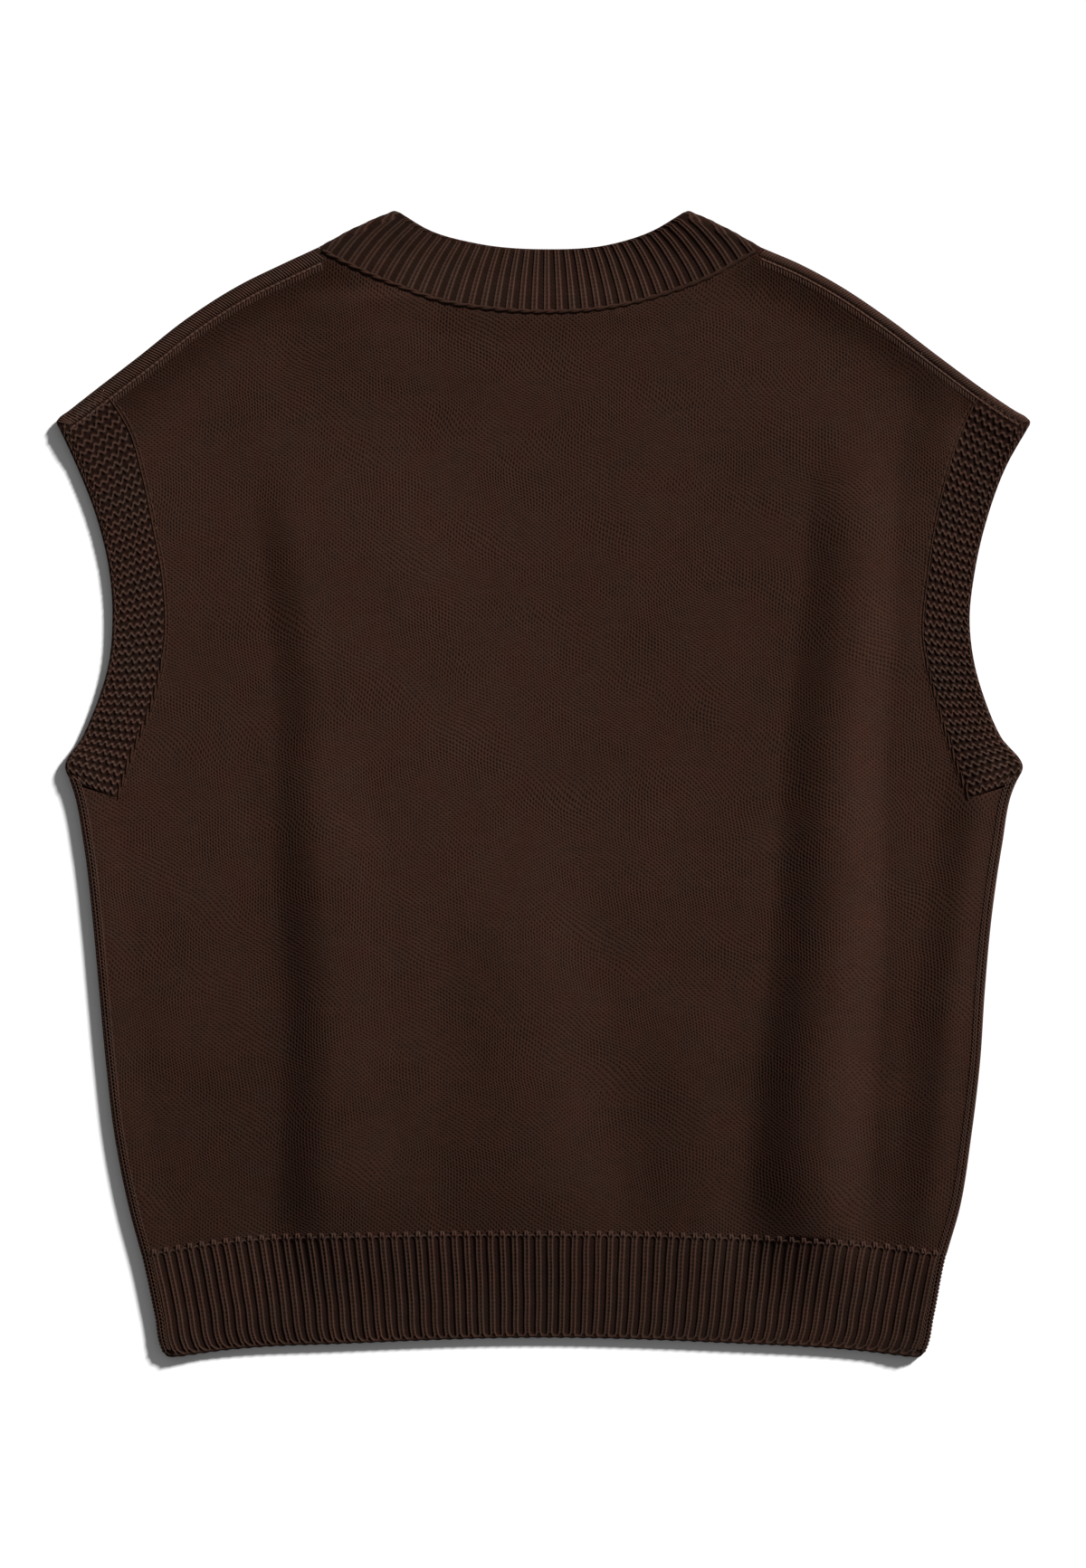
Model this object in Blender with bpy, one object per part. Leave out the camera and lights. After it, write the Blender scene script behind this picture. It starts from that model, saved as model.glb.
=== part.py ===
"""A knitted sweater vest laid flat, back up, built piece by piece as a knitter would join it.

The vest lies on z = 0 with its neck towards +Y. Each piece is one closed wall: a grid of cells is
laid on the wall's inside face, extruded, and moved to its outside face, where ribs are raised.
Plan sizes below are in millimetres from the middle of the vest.
"""

import math

import bmesh
import bpy
import numpy as np
from mathutils import Vector

MM = 0.001
GARMENT = "sweater_vest"

# Cloth, heights in millimetres above the ground
WALL = 1.8
BACK_INSIDE = 2.4
FOLD_RADIUS = 2.75
RIB_RAISE = 1.1
GARTER_RAISE = 0.9
SEAM_HALF_GAP = 0.2
EDGE_THINNING = 0.7

# How far the seams lie inside the folded edges
SIDE_SEAM_INSET = 3.6
SHOULDER_SEAM_INSETS = (7.1, 4.4)

# Counts
HEM_RIBS = 66
NECK_RIBS = 36
GARTER_RIDGES = 45

# Side edge from hem to underarm: height, left reach, right reach
SIDE_EDGE = (
    (-300.0, 199.0, 199.5),
    (-278.5, 203.5, 204.5),
    (-250.0, 209.5, 210.0),
    (-221.5, 217.0, 218.0),
    (-183.5, 224.5, 224.0),
    (-145.5, 229.0, 228.5),
    (-108.0, 232.5, 231.0),
    (-70.0, 236.0, 234.5),
    (-32.0, 240.5, 240.0),
    (-3.5, 246.0, 245.5),
    (7.5, 250.0, 250.5),
)

# Open edge of the armhole from underarm to shoulder: height, left reach, right reach
ARMHOLE_EDGE = (
    (2.0, 247.5, 247.8),
    (7.5, 250.0, 250.5),
    (25.0, 241.0, 239.0),
    (44.0, 233.0, 231.0),
    (63.0, 227.5, 225.5),
    (86.0, 225.5, 223.0),
    (110.0, 227.0, 225.5),
    (138.5, 233.5, 232.0),
    (167.0, 244.5, 242.5),
    (190.5, 255.0, 254.5),
)

# Seam between body and armhole band from underarm to shoulder: height, left reach, right reach
ARMHOLE_SEAM = (
    (-7.0, 224.0, 223.5),
    (9.5, 219.0, 217.5),
    (44.5, 205.5, 206.5),
    (76.0, 199.0, 199.5),
    (110.0, 200.5, 202.0),
    (134.0, 205.0, 205.5),
    (160.5, 210.5, 211.5),
    (185.5, 218.0, 219.5),
    (196.5, 224.5, 225.0),
    (207.5, 233.0, 232.0),
)

# Underarm step under the band's end, from the side edge inwards: height, left reach, right reach
UNDERARM_STEP = (
    (2.0, 247.5, 247.8),
    (-7.0, 224.0, 223.5),
)

# Folded edge of the shoulder from the armhole's corner to the neck: height, left reach, right reach
SHOULDER_EDGE = (
    (190.5, 255.0, 254.5),
    (205.0, 236.0, 232.5),
    (224.0, 211.5, 206.5),
    (243.0, 187.5, 181.5),
    (262.0, 157.5, 153.0),
    (271.5, 138.0, 135.5),
    (281.0, 117.5, 113.5),
)

# Folded end of the neckband from the shoulder to its peak: height, left reach, right reach
NECK_FOLD = (
    (281.0, 117.5, 113.5),
    (291.5, 99.5, 95.5),
    (300.0, 78.0, 76.0),
)

# Lines across the vest: across, height
HEM_EDGE = (
    (-199, -300), (-161, -295.5), (-100, -292.5), (0, -289.5), (100, -292.5), (161, -296), (199.5, -300),
)
HEM_RIB_TOP = ((-211, -246), (-170, -239.5), (-70, -235.5), (0, -235), (70, -236), (180, -242), (212, -246))
BACK_NECK_SEAM = (
    (-117.5, 281), (-107, 275.5), (-76, 261.5), (-52, 253.5), (-26, 249.5), (2, 248),
    (35, 250.5), (65, 258), (89, 267.5), (104, 276), (113.5, 281),
)
BACK_NECK_EDGE = ((-78, 300), (-60, 290), (-35, 283), (0, 280), (35, 282.5), (57, 289.5), (76, 300))
FRONT_NECK_SEAM = ((-117.5, 281), (-103, 244), (-62, 207), (0, 193), (60, 207), (100, 244), (113.5, 281))
FRONT_NECK_EDGE = ((-78, 300), (-70, 262), (-42, 233), (0, 223), (41, 233), (68, 262), (76, 300))

# Grid of the two body panels: rows below and above the underarm, columns of each stretch
LOWER_ROWS = 12
UPPER_ROWS = 12
STEP_COLUMNS = 2
SHOULDER_COLUMNS = 6
NECK_COLUMNS = {"back": 18, "front": 12}
TURN_STEPS = 4

# Long soft folds pressed into the back: upper and lower end of the crest, bend of the crest between them,
# then at both ends the rise, the widths of the left and right face, and how far the fold fades
BACK_FOLDS = (
    ((167.5, 212), (138, -278), 0, (4.0, 12.8), (25, 40), (22, 34), (100, 75)),
    ((-129, 190), (-109, -278), 7, (3.8, 6.7), (25, 33), (140, 130), (85, 75)),
    ((-129, 60), (-109, -278), 6, (2.0, 2.1), (34, 38), (38, 38), (80, 75)),
    ((-14, -20), (4, -278), 2, (2.3, 5.4), (50, 60), (40, 48), (80, 70)),
    ((74, -90), (80, -272), 0, (0.8, 2.2), (28, 30), (26, 26), (60, 50)),
    ((244, 42), (206, -272), 0, (5.0, 5.0), (34, 32), (14, 14), (45, 50)),
    ((216, 226), (205, 140), 0, (2.6, 1.4), (24, 20), (12, 10), (22, 45)),
    ((-98, 262), (-90, 185), 0, (3.0, 1.2), (44, 40), (46, 46), (12, 50)),
)
FOLD_WAVER = 1.3
FOLD_WAVE = 29.0
FOLD_ROUNDING = 1.15

# Rise of the cloth towards the seam that links neckband and body, and how far it reaches
SEAM_RISE = 1.4
SEAM_REACH = 20.0

# Sag of the back neck into the front's lower neckline
NECK_SAG = {"depth": 1.7, "across": 45.0, "along": 28.0, "height": 288.0}

# The edge rolls up this far inside a fold; the neckband's peaks are cut round by a share of the edge
EDGE_ROLL = 20.0
PEAK_ROUNDING = 0.012

# Colour, roughness of the yarn in jersey and in ribs
JERSEY_COLOUR = (0.034, 0.017, 0.011, 1.0)
RIB_COLOUR = (0.024, 0.011, 0.008, 1.0)
YARN_ROUGHNESS = 0.92


def smooth_line(points, samples=500):
    """A smooth line through the points, kept as evenly spaced samples."""
    pts = np.array(points, dtype=float)
    chord = np.hypot(*np.diff(pts, axis=0).T)
    at = np.concatenate(([0.0], np.cumsum(chord)))
    slope = np.gradient(pts, at, axis=0)
    spots = np.linspace(0.0, at[-1], samples)
    span = np.clip(np.searchsorted(at, spots, side="right") - 1, 0, len(pts) - 2)
    step = (at[span + 1] - at[span])[:, None]
    t = (spots[:, None] - at[span][:, None]) / step
    start, end = pts[span], pts[span + 1]
    leave, arrive = slope[span] * step, slope[span + 1] * step
    line = (
        start * (2 * t**3 - 3 * t**2 + 1)
        + leave * (t**3 - 2 * t**2 + t)
        + end * (3 * t**2 - 2 * t**3)
        + arrive * (t**3 - t**2)
    )
    run = np.concatenate(([0.0], np.cumsum(np.hypot(*np.diff(line, axis=0).T))))
    even = np.linspace(0.0, run[-1], samples)
    return np.column_stack([np.interp(even, run, line[:, k]) for k in (0, 1)])


def along(line, share):
    """The point at a share of a line's length."""
    spot = share * (len(line) - 1)
    first = min(int(spot), len(line) - 2)
    return line[first] + (line[first + 1] - line[first]) * (spot - first)


def inward(line, share, side):
    """Unit direction across a line, to its left for side 1 and to its right for side -1."""
    ahead = along(line, min(share + 0.01, 1.0)) - along(line, max(share - 0.01, 0.0))
    ahead = ahead / np.hypot(*ahead)
    return np.array([-ahead[1], ahead[0]]) * side


def edge_line(table, column, sign):
    """A smooth line down a table of heights and reaches."""
    return smooth_line([(sign * row[column], row[0]) for row in table])


def side_lines(sign):
    """All edges and seams of one side of the vest; sign is -1 for the left, 1 for the right."""
    column = 1 if sign < 0 else 2
    return {
        "side": edge_line(SIDE_EDGE, column, sign),
        "armhole_edge": edge_line(ARMHOLE_EDGE, column, sign),
        "armhole_seam": edge_line(ARMHOLE_SEAM, column, sign),
        "step": edge_line(UNDERARM_STEP, column, sign),
        "shoulder": edge_line(SHOULDER_EDGE, column, sign),
        "neck_fold": edge_line(NECK_FOLD, column, sign),
    }


LEFT = side_lines(-1)
RIGHT = side_lines(1)
HEM = smooth_line(HEM_EDGE)
RIB_TOP = smooth_line(HEM_RIB_TOP)
NECK_SEAM = {"back": smooth_line(BACK_NECK_SEAM), "front": smooth_line(FRONT_NECK_SEAM)}
NECK_EDGE = {"back": smooth_line(BACK_NECK_EDGE), "front": smooth_line(FRONT_NECK_EDGE)}
FOLDED_EDGES = np.concatenate(
    [side[name][::10] for side in (LEFT, RIGHT) for name in ("side", "shoulder", "neck_fold")]
)


def ease(t):
    """A soft step from 0 to 1."""
    t = min(max(t, 0.0), 1.0)
    return t * t * (3 - 2 * t)


def fold_rise(fold, x, y):
    """Height of one soft fold over a place in plan; it fades at both ends of its crest."""
    (top_x, top_y), (low_x, low_y), bend, *sizes, fade = fold
    reach = math.hypot(low_x - top_x, low_y - top_y)
    ahead_x, ahead_y = (low_x - top_x) / reach, (low_y - top_y) / reach
    down = (x - top_x) * ahead_x + (y - top_y) * ahead_y
    share = min(max(down / reach, 0.0), 1.0)
    crest = bend * math.sin(math.pi * share) + FOLD_WAVER * math.sin(down / FOLD_WAVE + top_x)
    aside = (y - top_y) * ahead_x - (x - top_x) * ahead_y - crest
    rise, left, right = (size[0] + (size[1] - size[0]) * share for size in sizes)
    face = left if aside < 0 else right
    section = ease(1 - (abs(aside) / face) ** FOLD_ROUNDING)
    return rise * section * ease(down / fade[0]) * ease((reach - down) / fade[1])


def back_inside(x, y):
    """Height of the back layer's inside face over a place in plan."""
    edge = np.min(np.hypot(FOLDED_EDGES[:, 0] - x, FOLDED_EDGES[:, 1] - y))
    roll = 1 - ease((edge - FOLD_RADIUS) / EDGE_ROLL)
    folded = 2 * FOLD_RADIUS - WALL - BACK_INSIDE
    sag = math.exp(-((x / NECK_SAG["across"]) ** 2) - ((y - NECK_SAG["height"]) / NECK_SAG["along"]) ** 2)
    from_seam = np.min(np.hypot(NECK_SEAM["back"][:, 0] - x, NECK_SEAM["back"][:, 1] - y))
    rise = sum(fold_rise(fold, x, y) for fold in BACK_FOLDS) + SEAM_RISE * ease(1 - from_seam / SEAM_REACH)
    return BACK_INSIDE + folded * roll + (rise - NECK_SAG["depth"] * sag) * (1 - roll)


def spaced(line, count, start=0.0, end=1.0):
    """Evenly spaced points on a stretch of a line, both ends included."""
    return [along(line, start + (end - start) * k / count) for k in range(count + 1)]


def beside(line, count, start, end, hand, clear):
    """Evenly spaced points beside a stretch of a line."""
    shares = [start + (end - start) * k / count for k in range(count + 1)]
    return [along(line, s) + inward(line, s, hand) * clear for s in shares]


def resampled(points, samples=500):
    """A line of straight runs through the points, kept as evenly spaced samples."""
    run = np.cumsum([0.0] + [np.hypot(*(b - a)) for a, b in zip(points, points[1:])])
    even = np.linspace(0.0, run[-1], samples)
    return np.column_stack([np.interp(even, run, [p[k] for p in points]) for k in (0, 1)])


def nearest_share(line, point):
    """Share of a line's length at its sample nearest to a point."""
    return int(np.argmin(np.hypot(*(line - point).T))) / (len(line) - 1)


def share_inside(line, edge, distance, from_end=False):
    """Share at which a line, followed from one end, gets a distance clear of an edge."""
    clear = [np.min(np.hypot(*(edge - p).T)) >= distance for p in (line[::-1] if from_end else line)]
    share = clear.index(True) / (len(line) - 1)
    return 1 - share if from_end else share


def joined(*stretches):
    """Several lists of points end to end, shared ends kept once."""
    points = list(stretches[0])
    for stretch in stretches[1:]:
        points += stretch[1:]
    return points


def border_shares(one, other):
    """Share of the length at each point, the mean of two facing borders."""
    shares = []
    for border in (one, other):
        run = np.cumsum([0.0] + [np.hypot(*(b - a)) for a, b in zip(border, border[1:])])
        shares.append(run / run[-1])
    return (shares[0] + shares[1]) / 2


def patch(low, high, left, right):
    """Plan points between four borders, as a list of rows; the borders meet at their ends."""
    across, up = border_shares(low, high), border_shares(left, right)
    grid = []
    for j, v in enumerate(up):
        line = []
        for i, u in enumerate(across):
            ruled = low[i] * (1 - v) + high[i] * v + left[j] * (1 - u) + right[j] * u
            corners = (low[0] * (1 - u) + low[-1] * u) * (1 - v) + (high[0] * (1 - u) + high[-1] * u) * v
            line.append(ruled - corners)
        grid.append(line)
    return grid


def turn(edge_point, direction, step):
    """Inside and outside points of cloth that rolls round a folded edge, step 0 below to the last above."""
    angle = -math.pi / 2 + math.pi * step / TURN_STEPS
    points = []
    for radius in (FOLD_RADIUS - WALL, FOLD_RADIUS):
        plan = edge_point + direction * (FOLD_RADIUS - radius * math.cos(angle))
        points.append((plan[0], plan[1], FOLD_RADIUS + radius * math.sin(angle)))
    return points


def lower_pair(plan):
    """Inside and outside points of the front layer, whose outside lies on the ground."""
    return [(plan[0], plan[1], WALL), (plan[0], plan[1], 0.0)]


def upper_pair(plan, wall=WALL):
    """Inside and outside points of the back layer."""
    inside = back_inside(*plan)
    return [(plan[0], plan[1], inside), (plan[0], plan[1], inside + wall)]


def yarn(name, colour):
    """Matt garment-dyed cotton yarn."""
    material = bpy.data.materials.new(name)
    material.use_nodes = True
    shader = material.node_tree.nodes["Principled BSDF"]
    shader.inputs["Base Color"].default_value = colour
    shader.inputs["Roughness"].default_value = YARN_ROUGHNESS
    shader.inputs["Metallic"].default_value = 0.0
    return material


def cell(face, column_of, row_of):
    """Column and row of a grid cell."""
    return min(v[column_of] for v in face.verts), min(v[row_of] for v in face.verts)


def knit_wall(name, columns, rows, pair, colour, wanted=None, loop=False):
    """One closed wall of cloth; pair(i, j) gives the inside and outside point of a grid corner."""
    bm = bmesh.new()
    column_of = bm.verts.layers.int.new("column")
    row_of = bm.verts.layers.int.new("row")
    bmesh.ops.create_grid(bm, x_segments=columns, y_segments=rows, size=0.5)
    for vert in bm.verts:
        vert[column_of] = round((vert.co.x + 0.5) * columns)
        vert[row_of] = round((vert.co.y + 0.5) * rows)
    if wanted:
        unwanted = [f for f in bm.faces if not wanted(*cell(f, column_of, row_of))]
        bmesh.ops.delete(bm, geom=unwanted, context="FACES")
    for vert in bm.verts:
        vert.co = Vector(pair(vert[column_of], vert[row_of])[0]) * MM
    if loop:
        bmesh.ops.remove_doubles(bm, verts=bm.verts, dist=1e-6)
    grown = bmesh.ops.extrude_face_region(bm, geom=bm.faces[:])["geom"]
    for vert in (g for g in grown if isinstance(g, bmesh.types.BMVert)):
        vert.co = Vector(pair(vert[column_of], vert[row_of])[1]) * MM
    bmesh.ops.recalc_face_normals(bm, faces=bm.faces)
    mesh = bpy.data.meshes.new(name)
    bm.to_mesh(mesh)
    bm.free()
    mesh.shade_smooth()
    mesh.set_sharp_from_angle(angle=math.radians(50))
    piece = bpy.data.objects.new(name, mesh)
    mesh.materials.append(yarn(name + "_yarn", colour))
    bpy.data.collections[GARMENT].objects.link(piece)
    return piece


def edge_length(line):
    """Length of a line."""
    return float(np.sum(np.hypot(*np.diff(line, axis=0).T)))


def side_places(side, hand, rib_end, seam_inset):
    """Shares of the folded edges at which the hem rib, the underarm step and the armhole seam end."""
    gap_share = SEAM_HALF_GAP / edge_length(side["shoulder"])
    return {
        "hand": hand,
        "seam_inset": seam_inset,
        "rib": nearest_share(side["side"], rib_end),
        "step": nearest_share(side["side"], side["step"][0]),
        "seam": nearest_share(side["shoulder"], side["armhole_seam"][-1]),
        "gap_share": gap_share,
        "neck": 1 - 2 * gap_share,
    }


SIDES = (
    (LEFT, side_places(LEFT, -1, RIB_TOP[0], SHOULDER_SEAM_INSETS[0])),
    (RIGHT, side_places(RIGHT, 1, RIB_TOP[-1], SHOULDER_SEAM_INSETS[1])),
)
FOLDED_INSETS = (FOLD_RADIUS, FOLD_RADIUS)


def unit(vector):
    """A vector's direction."""
    return vector / np.hypot(*vector)


def side_point(side, place, stretch, share):
    """A point of the folded side edge and the direction into the cloth, on the hem rib or the body.

    The cloth's own ends slant with the hem below and with the underarm step above.
    """
    gap_share = SEAM_HALF_GAP / edge_length(side["side"])
    if stretch == "rib":
        spot = (place["rib"] - gap_share) * share
        slant = unit(HEM[20] - HEM[0]) if place["hand"] < 0 else unit(HEM[-21] - HEM[-1])
        slanted = share == 0.0
    else:
        spot = place["rib"] + gap_share + (place["step"] - place["rib"] - 2 * gap_share) * share
        slant = unit(side["step"][-1] - side["step"][0])
        slanted = share == 1.0
    direction = slant if slanted else inward(side["side"], spot, place["hand"])
    return along(side["side"], spot), direction


def side_border(side, place, inset):
    """Up a folded side edge from the hem rib to the underarm step."""
    points = [side_point(side, place, "body", j / LOWER_ROWS) for j in range(LOWER_ROWS + 1)]
    return [edge + direction * inset for edge, direction in points]


def armhole_border(side, place, inset, clear):
    """Up the armhole seam to the shoulder's folded edge; clear is positive on the body's side."""
    hand = place["hand"]
    seam = side["armhole_seam"]
    stop = share_inside(seam, side["shoulder"], place["seam_inset"], True)
    points = beside(seam, UPPER_ROWS, 0.0, stop, hand, clear)
    points[0] = points[0] + inward(side["step"], 1.0, hand) * clear
    share = place["seam"] + place["gap_share"] * (1 if clear > 0 else -1)
    points[-1] = along(side["shoulder"], share) + inward(side["shoulder"], share, hand) * inset
    return points


def at_shoulders(clear):
    """Distances from both shoulders' folded edges to a line beside their seams."""
    return [place["seam_inset"] + clear for side, place in SIDES]


def neck_border(layer, insets, clear):
    """Along a neck seam from shoulder to shoulder; clear is positive on the body's side."""
    seam = NECK_SEAM[layer]
    start = share_inside(seam, LEFT["shoulder"], insets[0])
    end = share_inside(seam, RIGHT["shoulder"], insets[1], True)
    return beside(seam, NECK_COLUMNS[layer], start, end, -1, clear)


def shoulder_border(side, place, inset, first, last):
    """Along a shoulder's folded edge from the armhole seam to the neck, between two given corners."""
    end = min(nearest_share(side["shoulder"], last), place["neck"])
    start = place["seam"] + place["gap_share"]
    points = beside(side["shoulder"], SHOULDER_COLUMNS, start, end, place["hand"], inset)
    points[0], points[-1] = first, last
    return points


def body_patches(layer, side_inset, insets):
    """The lower and upper patch of a body panel in plan."""
    gap = SEAM_HALF_GAP
    neck_columns = NECK_COLUMNS[layer]
    sides = [side_border(side, place, side_inset) for side, place in SIDES]
    armholes = [armhole_border(*SIDES[k], insets[k], gap) for k in (0, 1)]
    shares = [k / STEP_COLUMNS for k in range(STEP_COLUMNS + 1)]
    steps = []
    for border, armhole in zip(sides, armholes):
        steps.append([border[-1] + (armhole[0] - border[-1]) * share for share in shares])
    middle = 2 * SHOULDER_COLUMNS + neck_columns
    across = [armholes[0][0] + (armholes[1][0] - armholes[0][0]) * k / middle for k in range(middle + 1)]
    high = joined(steps[0], across, steps[1][::-1])
    low = [along(RIB_TOP, s) + np.array([0.0, gap]) for s in border_shares(high, high)]
    low[0], low[-1] = sides[0][0], sides[1][0]
    lower = patch(low, high, *sides)
    neck = neck_border(layer, insets, gap)
    shoulders = [
        shoulder_border(*SIDES[k], insets[k], armholes[k][-1], neck[-k]) for k in (0, 1)
    ]
    top = joined(shoulders[0], neck, shoulders[1][::-1])
    upper = patch(across, top, *armholes)
    return lower, upper


def build_back_panel():
    """Plain jersey back, from the hem rib to the shoulder and neck seams."""
    gap = SEAM_HALF_GAP
    lower, upper = body_patches("back", SIDE_SEAM_INSET + gap, at_shoulders(gap))
    columns = len(lower[0]) - 1

    def pair(i, j):
        if j <= LOWER_ROWS:
            return upper_pair(lower[j][i])
        return upper_pair(upper[j - LOWER_ROWS][i - STEP_COLUMNS])

    def wanted(i, j):
        return j < LOWER_ROWS or STEP_COLUMNS <= i < columns - STEP_COLUMNS

    return knit_wall("back_panel", columns, LOWER_ROWS + UPPER_ROWS, pair, JERSEY_COLOUR, wanted)


def build_front_panel():
    """Plain jersey front below the back, rolled up round the sides and over the shoulders to the seams."""
    gap = SEAM_HALF_GAP
    turned = TURN_STEPS + 1
    lower, upper = body_patches("front", FOLD_RADIUS, FOLDED_INSETS)
    flat_columns = len(lower[0]) - 1
    columns = flat_columns + 2 * turned
    rows = LOWER_ROWS + UPPER_ROWS
    side_seams = [side_border(side, place, SIDE_SEAM_INSET - gap) for side, place in SIDES]
    insets = at_shoulders(-gap)
    neck_ends = neck_border("back", insets, gap)
    shoulder_seams = []
    for k in (0, 1):
        armhole = armhole_border(*SIDES[k], insets[k], gap)
        shoulder_seams.append(shoulder_border(*SIDES[k], insets[k], armhole[-1], neck_ends[-k]))

    def side_turn(step, j, which):
        side, place = SIDES[which]
        if step > TURN_STEPS:
            return upper_pair(side_seams[which][j])
        return turn(*side_point(side, place, "body", j / LOWER_ROWS), step)

    def shoulder_turn(step, column, which):
        side, place = SIDES[which]
        if step > TURN_STEPS:
            return upper_pair(shoulder_seams[which][column])
        start = place["seam"] + place["gap_share"]
        share = start + (place["neck"] - start) * column / SHOULDER_COLUMNS
        return turn(along(side["shoulder"], share), inward(side["shoulder"], share, place["hand"]), step)

    def pair(i, j):
        column = i - turned
        if j <= LOWER_ROWS:
            if column < 0:
                return side_turn(-column, j, 0)
            if column > flat_columns:
                return side_turn(column - flat_columns, j, 1)
            return lower_pair(lower[j][column])
        column -= STEP_COLUMNS
        if j <= rows:
            return lower_pair(upper[j - LOWER_ROWS][column])
        if column <= SHOULDER_COLUMNS:
            return shoulder_turn(j - rows, column, 0)
        return shoulder_turn(j - rows, flat_columns - 2 * STEP_COLUMNS - column, 1)

    def wanted(i, j):
        first = turned + STEP_COLUMNS
        last = columns - first
        if j < LOWER_ROWS:
            return True
        if j < rows:
            return first <= i < last
        return first <= i < first + SHOULDER_COLUMNS or last - SHOULDER_COLUMNS <= i < last

    return knit_wall("front_panel", columns, rows + turned, pair, JERSEY_COLOUR, wanted)


def hem_patch(layer, inset, columns, shares):
    """A layer's hem rib in plan, between its side edges, rows at shares of its height."""
    sides = []
    for side, place in SIDES:
        points = [side_point(side, place, "rib", s) for s in shares]
        sides.append([edge + direction * inset for edge, direction in points])
    ends = [nearest_share(HEM, border[0]) for border in sides]
    low = spaced(HEM, columns, *ends)
    low[0], low[-1] = sides[0][0], sides[1][0]
    body_low = body_patches(layer, inset, at_shoulders(0))[0][0]
    high = spaced(resampled(body_low) - np.array([0.0, 2 * SEAM_HALF_GAP]), columns)
    high[0], high[-1] = sides[0][-1], sides[1][-1]
    return patch(low, high, *sides)


def build_hem_rib_back():
    """Ribbing at the back hem: raised flat-topped ribs over a plain inside."""
    shares = (0.0, 0.05, 1.0)
    columns = 3 * HEM_RIBS
    grid = hem_patch("back", SIDE_SEAM_INSET + SEAM_HALF_GAP, columns, shares)

    def pair(i, j):
        crest = RIB_RAISE if i % 3 else 0.0
        wall = WALL + crest if j else WALL * EDGE_THINNING + crest * 0.5
        return upper_pair(grid[j][i], wall)

    return knit_wall("hem_rib_back", columns, len(shares) - 1, pair, RIB_COLOUR)


def build_hem_rib_front():
    """Ribbing at the front hem, flat below and rolled up round the sides to the side seams."""
    shares = (0.0, 0.05, 1.0)
    flat_columns = 2 * len(body_patches("front", FOLD_RADIUS, FOLDED_INSETS)[0][0])
    turned = TURN_STEPS + 1
    grid = hem_patch("front", FOLD_RADIUS, flat_columns, shares)
    seams = hem_patch("back", SIDE_SEAM_INSET - SEAM_HALF_GAP, flat_columns, shares)

    def side_turn(step, j, which):
        side, place = SIDES[which]
        if step > TURN_STEPS:
            return upper_pair(seams[j][-which])
        return turn(*side_point(side, place, "rib", shares[j]), step)

    def pair(i, j):
        column = i - turned
        if column < 0:
            return side_turn(-column, j, 0)
        if column > flat_columns:
            return side_turn(column - flat_columns, j, 1)
        return lower_pair(grid[j][column])

    return knit_wall("hem_rib_front", flat_columns + 2 * turned, len(shares) - 1, pair, RIB_COLOUR)


def build_armhole_band(name, side, place):
    """Garter strip from the back underarm over the shoulder to the front underarm, open at the armhole."""
    gap = SEAM_HALF_GAP
    shares = (0.0, 0.07, 1.0)
    upper_columns = 2 * GARTER_RIDGES
    edge_stop = share_inside(side["armhole_edge"], side["shoulder"], FOLD_RADIUS, True)
    seam = armhole_border(side, place, FOLD_RADIUS, -gap)
    shoulder_end = place["seam"] - place["gap_share"]

    def strip(columns):
        low = spaced(side["armhole_edge"], columns, 0.0, edge_stop)
        high = spaced(resampled(seam), columns)
        low[0] = along(side["step"], 0.0) + inward(side["step"], 0.0, place["hand"]) * -gap
        left = [low[0] + (high[0] - low[0]) * s for s in shares]
        right = [shoulder_point(s)[0] + shoulder_point(s)[1] * FOLD_RADIUS for s in shares]
        low[-1], high[-1] = right[0], right[-1]
        return patch(low, high, left, right)

    def shoulder_point(share):
        spot = share * shoulder_end
        return along(side["shoulder"], spot), inward(side["shoulder"], spot, place["hand"])

    upper = strip(upper_columns)
    lower = strip(UPPER_ROWS)

    def pair(i, j):
        if i <= upper_columns:
            crest = GARTER_RAISE if i % 2 else 0.0
            return upper_pair(upper[j][i], WALL + crest if j else WALL * EDGE_THINNING + crest * 0.5)
        if i <= upper_columns + TURN_STEPS:
            return turn(*shoulder_point(shares[j]), upper_columns + TURN_STEPS - i)
        return lower_pair(lower[j][upper_columns + TURN_STEPS + UPPER_ROWS - i])

    return knit_wall(name, upper_columns + TURN_STEPS + UPPER_ROWS, len(shares) - 1, pair, RIB_COLOUR)


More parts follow.
